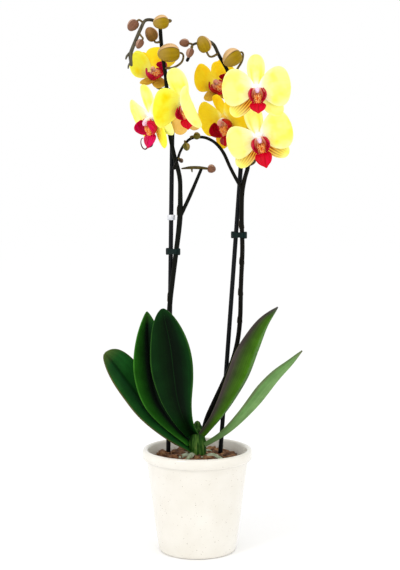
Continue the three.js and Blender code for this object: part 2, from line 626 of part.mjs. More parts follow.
function sideLobe(side, lean) {
  const { x, bulge, root, tip, width } = LIP.side;
  const [outShare, upShare] = [Math.sin(radians(lean)), Math.cos(radians(lean))];
  const pointAt = (t, v) => {
    const share = (1 - Math.cos(Math.PI * t)) / 2;
    const half = (Math.sin(Math.PI * t) * width + 4.5 * (1 - t) ** 2 + 2 * t * t) / 2;
    const y = THREE.MathUtils.lerp(root[0], tip[0], share);
    const z = THREE.MathUtils.lerp(root[1], tip[1], share);
    const opened = half * (1 + v);
    const out = x + bulge * Math.sin(Math.PI * share * 0.85) + opened * outShare;
    return new THREE.Vector3(side * out, y - 0.2 * half * v, z - half + opened * upShare);
  };
  return blade(pointAt, 4, 2, BLADE.thick + 0.3);
}

function middleLobe(length) {
  const { start, reach, width, curl, peak } = LIP.middle;
  const pointAt = (t, v) => {
    const share = (1 - Math.cos(Math.PI * t)) / 2;
    const past = (share - peak) / (1 - peak);
    const spread = share < peak ? Math.sin((Math.PI / 2) * (share / peak)) ** 0.8 : 1 - past ** 2;
    const half = (width * spread + 7 * (1 - t) ** 2 + 1.4 * t * t) / 2;
    const sag = curl * Math.sin(Math.PI * share) - 0.05 * half * v * v;
    const y = start[0] + reach[0] * length * share + sag;
    const z = start[1] + reach[1] * length * share - 0.12 * half * v * v;
    return new THREE.Vector3(half * v, y, z);
  };
  return blade(pointAt, 5, 2, BLADE.thick + 0.4);
}

function makeLip({ ears, lobe }) {
  const { at, size } = LIP.callus;
  const callus = solid(new THREE.SphereGeometry(1, 5, 4).scale(...size).translate(...at));
  const sides = [sideLobe(-1, ears[0]), sideLobe(1, ears[1])];
  return fuse([rod(LIP.foot, 5, 9), callus, ...sides, middleLobe(lobe)]);
}

// ---------------------------------------------------------------- stakes, clips and the clear band
function makeStake([foot, head], grow = 0) {
  return rod([[...foot, STAKE.radius], [...head, STAKE.radius]], STAKE.sides, 1000, grow);
}

function along([foot, head], height) {
  return vector(foot).lerp(vector(head), (height - foot[2]) / (head[2] - foot[2]));
}

// A clip is a flat loop round stake and stem, with a finger tab at each end.
function makeClip(stake, stem, height, stems) {
  const held = along(stake, height);
  const run = new THREE.Vector2(stem[0] - held.x, stem[1] - held.y);
  const reach = STAKE.radius + GAP + CLIP.wall + 0.4;
  const loop = new THREE.Shape();
  loop.absarc(0, 0, reach, Math.PI / 2, -Math.PI / 2, false);
  loop.absarc(run.length(), 0, reach, -Math.PI / 2, Math.PI / 2, false);
  const shape = { depth: CLIP.height, bevelEnabled: false, curveSegments: 6 };
  const body = new THREE.ExtrudeGeometry(loop, shape);
  const tabs = [-reach - CLIP.tab / 2 + 0.6, run.length() + reach + CLIP.tab / 2 - 0.6].map((x) =>
    solid(new THREE.BoxGeometry(CLIP.tab, 4.4, CLIP.height + 2).translate(x, 0, CLIP.height / 2)),
  );
  const place = new THREE.Matrix4().makeRotationZ(run.angle());
  place.setPosition(held.x, held.y, height - CLIP.height / 2);
  const made = fuse([solid(body), ...tabs]).transform(place.elements);
  return whole(cut(made, makeStake(stake, GAP), ...stems));
}

function makeBand(stake) {
  const at = along(stake, BAND.at);
  const half = BAND.height / 2;
  const ring = turned([[-half, BAND.radius], [half, BAND.radius]], 14).translate([at.x, at.y, at.z]);
  return cut(ring, makeStake(stake, GAP));
}

// ---------------------------------------------------------------- the whole plant
const orchid = new THREE.Group();
orchid.name = "potted_orchid";

const crownHole = makeCrown(GAP);
const stakeHoles = Object.values(STAKES).map((stake) => makeStake(stake, GAP));
const spikes = Object.keys(SPIKES).map((name) => [name, makeSpike(name)]);
const sleeves = Object.values(SPIKES).map(({ trunk }) => rod(trunk, STEM.sides, STEM.step, GAP + 0.1));

orchid.add(piece("pot", makePot(), "pot_glaze"));
orchid.add(piece("bark_mix", makeBark([crownHole, ...stakeHoles]), "bark"));
orchid.add(piece("crown_and_roots", cut(makeCrown(), ...sleeves), "root_green"));
for (const [name, leaf] of Object.entries(LEAVES)) {
  orchid.add(piece(name, whole(cut(makeLeaf(leaf), crownHole, ...sleeves)), "leaf_green"));
}
for (const [name, made] of spikes) orchid.add(piece(name, made, "stem_green"));
for (const [name, stake] of Object.entries(STAKES)) orchid.add(piece(name, makeStake(stake), "stake_black"));
orchid.add(piece("clip_left", makeClip(STAKES.stake_left, [-25.2, 5], 345, sleeves), "clip_green"));
orchid.add(piece("clip_right", makeClip(STAKES.stake_right, [51, 3.6], 364, sleeves), "clip_green"));
orchid.add(piece("stake_band", makeBand(STAKES.stake_left), "band_clear"));

const column = makeColumn();
const columnHole = makeColumn(GAP);
for (const [name, bloom] of Object.entries(BLOOMS)) {
  const face = new THREE.Group();
  face.position.set(...bloom.centre);
  face.quaternion.setFromRotationMatrix(facing(bloom));
  face.scale.setScalar(bloom.size);
  face.add(piece(`${name}_tepals`, makeTepals(bloom), "petal_yellow"));
  const mouth = new THREE.Group();
  mouth.rotation.z = radians(bloom.turns?.lip ?? 0);
  mouth.scale.setScalar(bloom.lipSize);
  mouth.position.z = (1 - bloom.lipSize) * (HUB.depth + GAP);
  mouth.add(piece(`${name}_column`, column, "column_white"));
  mouth.add(piece(`${name}_lip`, whole(cut(makeLip(bloom), columnHole)), "lip_red"));
  face.add(mouth);
  orchid.add(face);
}
for (const [name, bud] of Object.entries(BUDS)) orchid.add(piece(name, makeBud(bud), bud.slot));

export default orchid;
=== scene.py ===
# %% [markdown]
# # A potted moth orchid
# The plant stands in a plain glazed pot of bark. Two flower spikes are clipped to thin stakes and
# carry seven open blooms and thirteen buds over a fan of five leaves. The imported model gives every
# piece its place, and this lesson gives each one its true surface, one piece at a time.

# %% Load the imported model
import math
import random

import bmesh
import bpy
from mathutils import Matrix, Vector, noise


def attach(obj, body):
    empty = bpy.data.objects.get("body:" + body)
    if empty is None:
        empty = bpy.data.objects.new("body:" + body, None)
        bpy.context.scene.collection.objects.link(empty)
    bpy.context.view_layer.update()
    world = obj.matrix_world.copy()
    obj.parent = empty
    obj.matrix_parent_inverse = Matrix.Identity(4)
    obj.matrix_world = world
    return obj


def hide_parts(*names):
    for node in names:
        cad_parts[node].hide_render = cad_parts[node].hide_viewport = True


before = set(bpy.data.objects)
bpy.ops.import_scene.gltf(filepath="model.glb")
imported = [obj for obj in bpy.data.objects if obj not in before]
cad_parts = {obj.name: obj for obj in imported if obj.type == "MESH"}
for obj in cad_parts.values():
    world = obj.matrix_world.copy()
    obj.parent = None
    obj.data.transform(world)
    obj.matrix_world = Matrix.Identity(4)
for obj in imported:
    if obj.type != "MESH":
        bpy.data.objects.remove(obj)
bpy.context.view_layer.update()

# %% [markdown]
# ## Units, colours and nodes
# Sizes are written in millimetres, as on a drawing, and become metres only when a mesh is finished.
# Colours are written as hex codes, which are sRGB, so one function turns them to the linear values
# that a shader wants. A second function adds a shader node with its settings and links, which keeps
# the materials short enough to read. Two patterns come back in nearly every skin, so each is made
# once: fibres that are drawn out one way, and a colour that is shaded by them.

# %% Helpers for colours and shader nodes
MM = 0.001


def colour(code):
    channels = [int(code[i : i + 2], 16) / 255 for i in (1, 3, 5)]
    linear = [c / 12.92 if c <= 0.04045 else ((c + 0.055) / 1.055) ** 2.4 for c in channels]
    return (*linear, 1.0)


def add(tree, kind, inputs=None, stops=(), **settings):
    """Adds a node. An input is a value, a hex code, a socket, or a node, which gives its first socket."""
    node = tree.nodes.new("ShaderNode" + kind)
    for name, value in settings.items():
        setattr(node, name, value)
    ramp = node.color_ramp.elements if stops else []
    while len(ramp) < len(stops):
        ramp.new(0.5)
    for element, (position, code) in zip(ramp, stops):
        element.position, element.color = position, colour(code)
    for name, value in (inputs or {}).items():
        if isinstance(value, bpy.types.Node):
            value = value.outputs[0]
        if isinstance(value, bpy.types.NodeSocket):
            tree.links.new(value, node.inputs[name])
        else:
            node.inputs[name].default_value = colour(value) if isinstance(value, str) else value
    return node


def material(name, **sockets):
    """A new material with values on its shader's own sockets: the material, its tree, its shader."""
    made = bpy.data.materials.new(name)
    made.use_nodes = True
    shader = made.node_tree.nodes["Principled BSDF"]
    for socket, value in sockets.items():
        shader.inputs[socket.replace("_", " ")].default_value = value
    return made, made.node_tree, shader


def dress(tree, shader, base, height=None, strength=0.3, distance=0.3):
    """Links a node's colour, and another's value as bump, with a relief that is so many mm deep."""
    tree.links.new(base.outputs[0], shader.inputs["Base Color"])
    if height:
        bump = add(tree, "Bump", {"Height": height, "Strength": strength, "Distance": distance * MM})
        tree.links.new(bump.outputs[0], shader.inputs["Normal"])

# %% Two patterns for living skins
def fibres(tree, place, stretch, detail, scale=1.0):
    """A noise that is drawn out: the lower the stretch in a direction, the longer the fibres run there."""
    drawn = add(tree, "Mapping", {"Vector": place, "Scale": stretch})
    return add(tree, "TexNoise", {"Vector": drawn, "Scale": scale, "Detail": detail})


def shaded(tree, base, pattern, reach, light):
    """Multiplies a colour. The light runs from its first to its second value over the pattern's reach."""
    (low, high), (dark, bright) = reach, light
    ends = {"From Min": low, "From Max": high, "To Min": dark, "To Max": bright}
    shade = add(tree, "MapRange", {"Value": pattern, **ends})
    return add(tree, "MixRGB", {"Fac": 1.0, "Color1": base, "Color2": shade}, blend_type="MULTIPLY")

# %% [markdown]
# ## Two ways to shape a grid
# Nearly everything here is a flat grid that is bent. A petal or a leaf is a grid that stays open,
# and a stem, a bud or a pot is one that is rolled up until its sides meet. Both start from
# Blender's own grid operator, which also gives the surface its UV map: u runs across or around and
# v runs from the foot to the tip, so that veins and colour can follow the growth of the piece.

# %% Helpers for meshes
def new_mesh():
    shape = bmesh.new()
    shape.loops.layers.uv.new("growth")
    return shape


def sheet(shape, across, along, point, slot=0):
    """An open surface. point(t, v) has t from foot to tip, 0 to 1, and v from -1 to 1 across."""
    made = bmesh.ops.create_grid(shape, x_segments=across, y_segments=along, size=1, calc_uvs=True)
    for vertex in made["verts"]:
        vertex.co = point((vertex.co.y + 1) / 2, vertex.co.x)
    for face in {face for vertex in made["verts"] for face in vertex.link_faces}:
        face.material_index = slot
    return made["verts"]


def roll(shape, around, along, point, slot=0, join=1e-4):
    """A rolled surface. point(t, angle) has t from 0 to 1. Corners nearer than join become one."""
    verts = sheet(shape, around, along, lambda t, v: point(t, math.pi * (v + 1)), slot)
    bmesh.ops.remove_doubles(shape, verts=verts, dist=join)


def put(name, data):
    """Makes an object of a mesh, a lamp or a camera, and puts it in the scene."""
    made = bpy.data.objects.new(name, data)
    bpy.context.scene.collection.objects.link(made)
    return made


def put_mesh(name, shape):
    """Ends the shaping and puts the mesh in the scene."""
    mesh = bpy.data.meshes.new(name)
    shape.to_mesh(mesh)
    shape.free()
    return put(name, mesh)

# %% Finish a piece
def finish_piece(name, shape, materials, nodes=(), thick=0, level=1, closed=True, place=None):
    """Moves a piece to its place, turns it to metres, and gives it modifiers and a body."""
    if place is not None:
        bmesh.ops.transform(shape, matrix=place, verts=shape.verts)
    if closed:
        bmesh.ops.recalc_face_normals(shape, faces=shape.faces)
    bmesh.ops.scale(shape, vec=(MM, MM, MM), verts=shape.verts)
    piece = put_mesh(name, shape)
    piece.data.shade_smooth()
    for made in materials:
        piece.data.materials.append(made)
    if thick:
        wall = piece.modifiers.new("wall", "SOLIDIFY")
        wall.thickness, wall.offset = thick * MM, 0
        wall.material_offset = 1 if len(materials) > 1 else 0
    if level:
        smooth = piece.modifiers.new("smooth", "SUBSURF")
        smooth.levels = smooth.render_levels = level
    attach(piece, "root")
    if nodes:
        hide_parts(*nodes)
    print(f"{name}: {len(piece.data.polygons)} faces before modifiers")
    return piece

# %% [markdown]
# ## A smooth route
# Stems, roots and midribs are drawn through a few given points, each with its radius. A centripetal
# Catmull-Rom curve passes through every point and never loops back between two close ones, which a
# plain Bezier with automatic handles can do.

# %% Curves through points
UP = Vector((0, 0, 1))


def mix(a, b, share):
    return a + (b - a) * share


def between(p0, p1, p2, p3, share):
    """The point on the curve between p1 and p2."""
    gaps = [max((b - a).length, 1e-6) ** 0.5 for a, b in ((p0, p1), (p1, p2), (p2, p3))]
    leave = (p1 - p0) / gaps[0] - (p2 - p0) / (gaps[0] + gaps[1]) + (p2 - p1) / gaps[1]
    reach = (p2 - p1) / gaps[1] - (p3 - p1) / (gaps[1] + gaps[2]) + (p3 - p2) / gaps[2]
    leave, reach = leave * gaps[1], reach * gaps[1]
    a = 2 * p1 - 2 * p2 + leave + reach
    b = 3 * p2 - 3 * p1 - 2 * leave - reach
    return ((a * share + b) * share + leave) * share + p1


def curve(points, step):
    """Points along the route about a step apart, with the values that follow x, y and z blended."""
    places = [Vector(p[:3]) for p in points]
    padded = [2 * places[0] - places[1], *places, 2 * places[-1] - places[-2]]
    found = []
    for i in range(len(points) - 1):
        parts = max(2, round((places[i + 1] - places[i]).length / step))
        for k in range(parts):
            extra = [mix(a, b, k / parts) for a, b in zip(points[i][3:], points[i + 1][3:])]
            found.append((between(*padded[i : i + 4], k / parts), *extra))
    return [*found, (places[-1], *points[-1][3:])]


def rings(points, step):
    """Centre, direction, two directions square to it, and radius, all along a route."""
    line = curve(points, step)
    centres = [p[0] for p in line]
    side = None
    found = []
    for i, (centre, radius) in enumerate(line):
        ahead, behind = centres[min(i + 1, len(line) - 1)], centres[max(i - 1, 0)]
        forward = (ahead - behind).normalized()
        if side is None:
            side = forward.orthogonal()
        side = (side - forward * side.dot(forward)).normalized()
        found.append((centre, forward, side, forward.cross(side), radius))
    return found

# %% Stems with rounded ends
ROUND_END = ((0.45, 0.87), (0.8, 0.55), (0.95, 0.25), (1.0, 0.0))  # distance and width, in radii


def tube(shape, points, around=10, step=5, slot=0, bumps=0):
    """A round stem with rounded ends. Bumps is how uneven its girth is, as a share of its radius."""
    line = rings(points, step)
    start, end = (
        [(ring[0] + ring[1] * ring[4] * away * way, *ring[1:4], ring[4] * width) for away, width in ROUND_END]
        for ring, way in ((line[0], -1), (line[-1], 1))
    )
    line = [*reversed(start), *line, *end]

    def point(t, angle):
        centre, _, side, across, radius = line[round(t * (len(line) - 1))]
        radius *= 1 + bumps * noise.noise(centre * 0.16 + UP * angle)
        return centre + (side * math.cos(angle) + across * math.sin(angle)) * radius

    roll(shape, around, len(line) - 1, point, slot)

# %% [markdown]
# ## The plant's measurements
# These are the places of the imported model, in millimetres: the blooms with the way each one looks,
# the buds, the leaves' midribs and the routes of the stems. Repeating them here keeps every new
# piece where the solid stands that carries it or makes room for it.

# %% Blooms, in the order of the spikes
# Aim is yaw towards +X, pitch down and roll anticlockwise, in degrees. Size is a share of a full
# bloom, and lip_size the share of that which the lip and the column have. Ears say how many degrees
# the left and the right side lobe of the lip lean out, lobe how long its middle lobe is, and lip
# names its finish. Folds, curls and turns are in degrees: how far a blade folds forward at its root,
# how far it curls along its length, and how far it is askew. Grow is a blade's own size. The
# pedicel is the stalk's route, from the stem to the back of the bloom.
BLOOMS = {
    "left_top": dict(
        centre=(-50, 15, 547.5), aim=(-10, -38, 5), size=0.86,
        lip_size=1.1, ears=(6, 30), lobe=0.7, lip="ruby",
        folds=dict(left_petal=50, right_petal=20, dorsal_sepal=18, left_sepal=26, right_sepal=14),
        turns=dict(
            lip=32, left_petal=-10, right_petal=62, dorsal_sepal=30, left_sepal=20, right_sepal=-20,
        ),
        grow=dict(left_sepal=0.75, right_sepal=0.8),
        pedicel=[(-35, -6.5, 529), (-40, 2, 529), (-47, 13, 533)],
    ),
    "left_middle": dict(
        centre=(-13.5, -36, 509.5), aim=(-12, 26, 26), size=1.08,
        lip_size=0.81, ears=(8, 6), lobe=1, lip="crimson",
        folds=dict(left_petal=48, right_petal=33, dorsal_sepal=-6, right_sepal=-10),
        curls=dict(right_petal=115),
        turns=dict(right_petal=-12, left_petal=-28, dorsal_sepal=-10, right_sepal=-58, lip=-14),
        grow=dict(left_sepal=0.88, right_sepal=0.8),
        pedicel=[(-34, -5, 524), (-28, -8, 530), (-18, -18, 524)],
    ),
    "left_low": dict(
        centre=(-52.5, 5, 498), aim=(-50, 30, -6), size=1,
        lip_size=1.08, ears=(20, 20), lobe=1, lip="magenta",
        folds=dict(left_petal=-8, right_petal=8, dorsal_sepal=-8, right_sepal=24),
        turns=dict(left_petal=8, right_sepal=-8),
        pedicel=[(-34, -4, 520), (-37, 3, 524), (-38, 14, 516)],
    ),
    "right_top": dict(
        centre=(21.5, 23, 535.5), aim=(-10, -26, 5), size=0.9,
        lip_size=1.1, ears=(6, 44), lobe=0.7, lip="dark",
        folds=dict(left_petal=52, right_petal=22, dorsal_sepal=12, left_sepal=24, right_sepal=10),
        turns=dict(
            lip=32, left_petal=-8, right_petal=54, dorsal_sepal=-20, left_sepal=22, right_sepal=-4,
        ),
        grow=dict(left_petal=0.92, right_petal=0.78, left_sepal=0.73, right_sepal=0.68),
        pedicel=[(41, -3, 524), (43, 10, 523), (38, 26, 527), (30, 33, 530)],
    ),
    "right_middle": dict(
        centre=(31, 0, 495.5), aim=(-42, 20, 16), size=0.96,
        lip_size=1.1, ears=(24, 26), lobe=0.9, lip="dark",
        turns=dict(left_petal=-14), grow=dict(left_petal=1.02, dorsal_sepal=0.78),
        pedicel=[(53.7, 0, 471), (49, 5, 482), (41, 11, 497)],
    ),
    "right_front_high": dict(
        centre=(64.5, -47, 525), aim=(2, 6, 2), size=0.96,
        lip_size=1, ears=(0, 0), lobe=1, lip="crimson",
        pedicel=[(38, -4, 534), (47, -12, 534), (60, -26, 530)],
    ),
    "right_front_low": dict(
        centre=(67.5, -27, 474), aim=(4, 17, 15), size=1,
        lip_size=1, ears=(0, 0), lobe=1.3, lip="crimson",
        turns=dict(left_petal=6), grow=dict(left_petal=0.9),
        pedicel=[(57.5, 0, 443), (64, -7, 446), (67, -14.5, 458)],
    ),
}
print(len(BLOOMS), "blooms")

# %% Spikes: routes of (x, y, z, radius), with branches that start inside the stem that bears them
# Young names the branches, by their number, that still have a stalk's colour. Nodes are the heights
# of the stem nodes that bear a bract.
SPIKES = {
    "left": dict(
        trunk=[
            (-5, 7, 122, 3), (-14, 13, 150, 3.1), (-27, 8, 190, 3.1), (-32, 4.5, 239, 3),
            (-32, 4, 279, 3), (-25, 5, 339, 2.9), (-20, 3, 383, 3.3), (-19.5, 1, 413, 2.7),
            (-20, 0, 429, 2.7), (-27.5, -1, 459.5, 2.6), (-32.5, -2, 489, 2.4),
            (-34.5, -6, 530.5, 2.3), (-36, -9, 547, 2.3), (-39, -12, 566.5, 2.2),
            (-40.5, -16, 583, 2.3), (-42.5, -20, 599, 2), (-49, -22, 602, 1.9), (-57, -24, 602, 1.9),
            (-62, -26, 593, 2), (-69.5, -29, 575, 2.1), (-73.5, -31, 563, 2.4), (-72.5, -32, 552, 1.7),
        ],
        branches=[
            [(-19.6, 3, 385, 2.4), (-13, 2, 399, 2.3), (-7, 1, 412, 2.2), (4.5, 0, 439, 1.9)],
            [(-17.5, 0, 439.5, 0.9), (-9, 0, 440.5, 1.8), (2, 0, 440.5, 2), (11.2, 0, 439.5, 1.4)],
            [(-6.5, 0, 440, 1.3), (-6, 0, 436, 0.8)],
            [(-73, -31, 566, 1.6), (-77.5, -30, 562, 1.4), (-78.5, -30, 559, 1)],
            [(-73, -32, 555, 1.5), (-75.5, -32, 551.5, 1.1), (-76, -32, 548.5, 0.8)],
        ],
        young=[1, 2], nodes=[291, 391],
    ),
    "right": dict(
        trunk=[
            (4, 5, 122, 3), (10, 8, 148, 3), (20, 5, 172, 3), (31, 4, 196, 3), (40.5, 5, 219, 2.9),
            (46, 6, 240, 2.8), (49, 5, 265.5, 2.8), (50, 5, 306.5, 2.7), (51.5, 4, 350, 2.7),
            (50.5, 3, 383, 2.7), (51, 2, 413.5, 2.9), (54, 1, 429, 2.6), (57.5, 0, 442, 2.5),
            (57, 0, 455, 2.4), (53, 0, 475, 2.3), (48.5, -1, 492, 2.3), (43, -2, 514, 2.2),
            (39, -4, 531.5, 2.2), (34, -6, 548.5, 2.1), (24, -10, 565.5, 2), (18, -14, 577, 2),
            (12, -17, 580, 1.7), (3, -19, 578, 1.6), (-6, -22, 575, 1.4), (-7, -23, 567, 1.3),
            (-11, -25, 558, 1.9),
        ],
        branches=[
            [
                (51, 2, 416, 2.2), (44.5, 0, 427, 2.1), (37, -3, 441, 2), (29.5, -6, 457, 2),
                (22, -8, 466.5, 1.9), (14, -9, 472, 1.9), (6.5, -10, 474.3, 1.8), (-7, -10, 473, 1.7),
                (-14, -9, 467, 1.6), (-19, -9, 459, 1.6), (-23, -9, 447, 1.5), (-26, -9, 440, 2.2),
            ],
        ],
        young=[], nodes=[266, 297, 334, 376],
    ),
}
print([f"{side}: {len(spike['branches']) + 1} routes" for side, spike in SPIKES.items()])

# %% Buds: foot, tip, width, kind, and the stalk's bends, each (x, y, z, radius)
BUDS = {
    "left_tip": ((-31.5, -30, 599), (-48.5, -34, 597), 16, "olive",
                 [(-42, -20, 598, 1.6), (-34, -22, 602, 1.4), (-29, -27, 601, 1.3)]),
    "left_big": ((-19.5, -24, 566), (-44, -27, 564.5), 21, "olive",
                 [(-37, -10, 551, 1.5), (-27, -14, 551, 1.4), (-17, -20, 557, 1.3), (-15.5, -23, 564, 1.2)]),
    "left_inner": ((-47.5, -19, 580), (-55, -23, 594), 14, "brown",
                   [(-40.3, -15, 580, 1.5), (-44, -17, 578.5, 1.3)]),
    "left_outer": ((-66, -26, 600.5), (-76, -24, 591), 12, "brown",
                   [(-60, -25, 599, 1.3), (-63, -26, 601.5, 1.2)]),
    "left_small": ((-60.5, -30, 579.5), (-66, -32, 570), 8.5, "brown",
                   [(-64, -27, 587, 1.2), (-61.5, -29, 583.5, 1.1)]),
    "left_side": ((11.5, 0, 439.5), (21, 0, 438.5), 10, "brown", []),
    "right_tip": ((10.5, -28, 566.5), (3, -30.5, 583.5), 16, "olive",
                  [(23, -10.5, 567, 1.5), (17, -17, 563, 1.3), (13, -25, 562.5, 1.2)]),
    "right_big": ((47.5, -17, 567), (29.5, -21, 554.5), 20.5, "olive",
                  [(38, -5, 535, 1.5), (44, -7, 549, 1.4), (50, -10, 559, 1.3), (51, -14, 566.5, 1.2)]),
    "right_outer": ((-9, -23, 576.5), (-20, -23, 577.5), 9.5, "brown", [(-5, -21.5, 575.5, 1.3)]),
    "right_small": ((-6, -30.5, 570), (-10, -32.5, 560), 8.5, "brown",
                    [(-6.2, -22.5, 573, 1.2), (-5.6, -27.5, 573, 1.1)]),
    "arc_top": ((-4, -16, 475), (3.5, -17.5, 475.5), 8.5, "olive",
                [(-7, -10, 473, 1.4), (-7.5, -13.5, 474.5, 1.2)]),
    "arc_middle": ((-13.5, -15, 467.5), (-11, -16.5, 459), 8, "olive",
                   [(-13.5, -9, 467.5, 1.3), (-14, -12.5, 470, 1.1)]),
    "arc_low": ((-20, -10.5, 450), (-16.5, -12, 446), 5, "brown",
                [(-22.5, -9, 450, 1.2), (-21, -10, 450.6, 1)]),
}
print(len(BUDS), "buds")

# %% Leaves: midrib, width, fold, direction from the left margin to the right one, and end
# The fold is how many degrees each half rises. The end is two powers, which say how late and how
# bluntly the leaf narrows to its tip.
LEAVES = {
    "left_low": (
        [(-6, -1, 117), (-28, -5, 133), (-55, -9, 162), (-81, -13, 198), (-97, -17, 221), (-105, -20, 231)],
        50, 22, (0.53, 0.7, 0.46), (3, 0.45)),
    "left_middle": (
        [(-7, -2, 125), (-28, -4, 146), (-47, -8, 176), (-54, -10, 208), (-57, -11, 245), (-57, -14, 278)],
        50, 30, (0.94, 0.3, 0.1), (1.6, 0.75)),
    "left_high": (
        [(-5, -6, 135), (-14, -18, 152), (-22, -27, 178), (-26, -30, 206), (-30, -30, 240), (-39, -31, 283)],
        52, 22, (0.98, -0.12, 0.1), (1.8, 0.6)),
    "right_low": (
        [(6, -3, 119), (36, -4, 137), (68, -4, 167), (94, -4, 200), (109, -4, 217), (120, -4, 232)],
        38, 38, (-0.35, -0.85, 0.25), (1.5, 0.85)),
    "right_high": (
        [(5, -4, 131), (27, -14, 160), (51, -19, 202), (64, -21, 236), (76, -22, 263), (90.5, -22, 284)],
        46, 26, (-0.56, -0.74, 0.37), (1.5, 0.85)),
}
print(len(LEAVES), "leaves")

# %% [markdown]
# ## Petals: living tissue, grown, with a velvet of tiny domed cells
# A petal is thin and full of water, so light goes a little way into it, and it has almost no gloss.
# It is near white or gold at its claw, where it meets the column, and fine veins fan out from there.
# The UV map runs with the growth, so a stretched noise gives the veins, and a colour ramp along v
# gives the glow at the heart. The back of a petal is a second material, which is duller on the
# sepals of the young blooms: painted shade on their undersides.

# %% The colours of a blade
# Copies of one yellow, lit and shaded: pale is painted light, bright lies between, and golden, amber, mustard
# and ochre are painted shade.
LIT_AND_SHADED_TONES = {  # claw, throat, middle, patches, vein
    "pale": ("#FFFFFF", "#FFFFC4", "#FFFF8E", "#FFF65A", "#FFEC2E"),
    "bright": ("#FFFFC8", "#FFFF7C", "#FFFB44", "#FFE60A", "#F2D400"),
    "golden": ("#FFF29A", "#FFE840", "#FFDC1C", "#FFC400", "#E8A800"),
    "amber": ("#FFE9B0", "#F4CC6C", "#EEC468", "#E6B450", "#CC9030"),
    "mustard": ("#F4D868", "#E4C044", "#D6AC38", "#C4982C", "#8A6420"),
    "ochre": ("#E0C060", "#C89A34", "#B88A2C", "#A87A28", "#7A5418"),
}
BLACK, WHITE = "#000000", "#FFFFFF"  # in a ramp that is used as a mask: none and all


def growth(tree):
    """The growth map, and its two directions: across the blade, and from the foot to the tip."""
    place = add(tree, "UVMap", uv_map="growth")
    axes = add(tree, "SeparateXYZ", {0: place})
    return place, axes.outputs["X"], axes.outputs["Y"]


def solid(tree):
    """Places in the whole plant, in metres, so that no two pieces have the same pattern."""
    return add(tree, "TexCoord").outputs["Object"]


print(len(LIT_AND_SHADED_TONES), "tones of yellow")

# %% Petal and sepal materials
VEIN_SPACING = 1.3  # mm, on a petal about 45 mm wide
PETAL_WIDTH = 45
PATCH = 16  # mm, the size of the deeper yellow patches


def striped(tree, base, place, along):
    """Rust red lines that fade out towards the tip."""
    drawn = add(tree, "Mapping", {"Vector": place, "Scale": (1.0, 0.3, 1)})
    lines = add(
        tree, "TexWave",
        {"Vector": drawn, "Scale": 2.4, "Distortion": 2.0, "Detail": 1.0, "Detail Scale": 1.2},
        bands_direction="X",
    )
    stops = [(0.0, "#A04408"), (0.3, "#C4700C"), (0.55, "#E8A21C"), (1.0, "#F6C444")]
    rust = add(tree, "ValToRGB", {"Fac": lines.outputs["Fac"]}, stops)
    fade = add(tree, "ValToRGB", {"Fac": along}, [(0.0, WHITE), (0.48, WHITE), (0.82, BLACK)])
    return add(tree, "MixRGB", {"Fac": fade, "Color1": base, "Color2": rust})


def streaked(tree, base, across, along):
    """Two lemon yellow streaks, one on each side of the midrib, on the inner half of a blade."""
    stops = [(0.12, BLACK), (0.22, "#E0E0E0"), (0.38, BLACK), (0.62, BLACK), (0.78, "#E0E0E0"), (0.9, BLACK)]
    pair = add(tree, "ValToRGB", {"Fac": across}, stops)
    stops = [(0.05, BLACK), (0.2, WHITE), (0.45, WHITE), (0.65, BLACK)]
    fade = add(tree, "ValToRGB", {"Fac": along}, stops)
    both = add(tree, "Math", {0: pair, 1: fade}, operation="MULTIPLY")
    return add(tree, "MixRGB", {"Fac": both, "Color1": base, "Color2": "#F4E830"})


def blade_material(name, tone, mark="plain"):
    """A petal's skin: matt and soft, and it glows because the light goes into it."""
    made, tree, shader = material(
        name, Roughness=0.65, IOR=1.38, Specular_IOR_Level=0.12,
        Subsurface_Weight=0.1, Subsurface_Scale=1.0 * MM, Subsurface_Radius=(1.0, 0.9, 0.35),
    )
    claw, throat, middle, patch, vein = LIT_AND_SHADED_TONES[tone]
    place, across, along = growth(tree)
    stops = [(0.0, claw), (0.13, claw), (0.27, throat), (0.5, middle), (1.0, middle)]
    glow = add(tree, "ValToRGB", {"Fac": along}, stops)
    veins = fibres(tree, place, (PETAL_WIDTH / VEIN_SPACING, 1.6, 1), 1.0)
    soft = add(tree, "TexNoise", {"Vector": solid(tree), "Scale": 1 / (PATCH * MM)})
    body = add(tree, "MapRange", {"Value": along, "From Min": 0.18, "From Max": 0.45})
    patches = add(tree, "MapRange", {"Value": soft, "From Min": 0.45, "From Max": 0.7})
    share = add(tree, "Math", {0: body, 1: patches}, operation="MULTIPLY")
    toned = add(tree, "MixRGB", {"Fac": share, "Color1": glow, "Color2": patch})
    vein_share = add(tree, "MapRange", {"Value": veins, "From Min": 0.55, "From Max": 0.8, "To Max": 0.35})
    vein_there = add(tree, "Math", {0: vein_share, 1: body}, operation="MULTIPLY")
    veined = add(tree, "MixRGB", {"Fac": vein_there, "Color1": toned, "Color2": vein})
    stops = [(0.0, "#B0B0B0"), (0.16, BLACK), (0.84, BLACK), (1.0, "#B0B0B0")]
    edges = add(tree, "ValToRGB", {"Fac": across}, stops)
    base = add(tree, "MixRGB", {"Fac": edges, "Color1": veined, "Color2": throat})
    if mark == "striped":
        base = striped(tree, base, place, along)
    if mark == "streaked":
        base = streaked(tree, base, across, along)
    dress(tree, shader, base, veins, 0.25, 0.2)
    return made


PETAL_FINISHES = {}


def petal_finish(tone, mark="plain", back=None):
    """The front and the back of a blade, made once for each tone and mark."""
    key = (tone, mark, back)
    if key not in PETAL_FINISHES:
        PETAL_FINISHES[key] = [
            blade_material(f"orchid blade, {tone}, {mark}", tone, mark),
            blade_material(f"orchid blade back, {back or tone}", back or tone),
        ]
    return PETAL_FINISHES[key]

# %% [markdown]
# ## The lip, the column and the callus
# The lip is the third petal of the flower, turned into a landing place: thick, waxy and crimson. It
# is smoother than the petals, so it has a soft gloss. Its throat is peach and orange with red
# stripes and a crimson margin. The callus, a small cushion of three humps between the side lobes,
# has the same colours in specks. The column is white with a blush at its end, waxy as well.

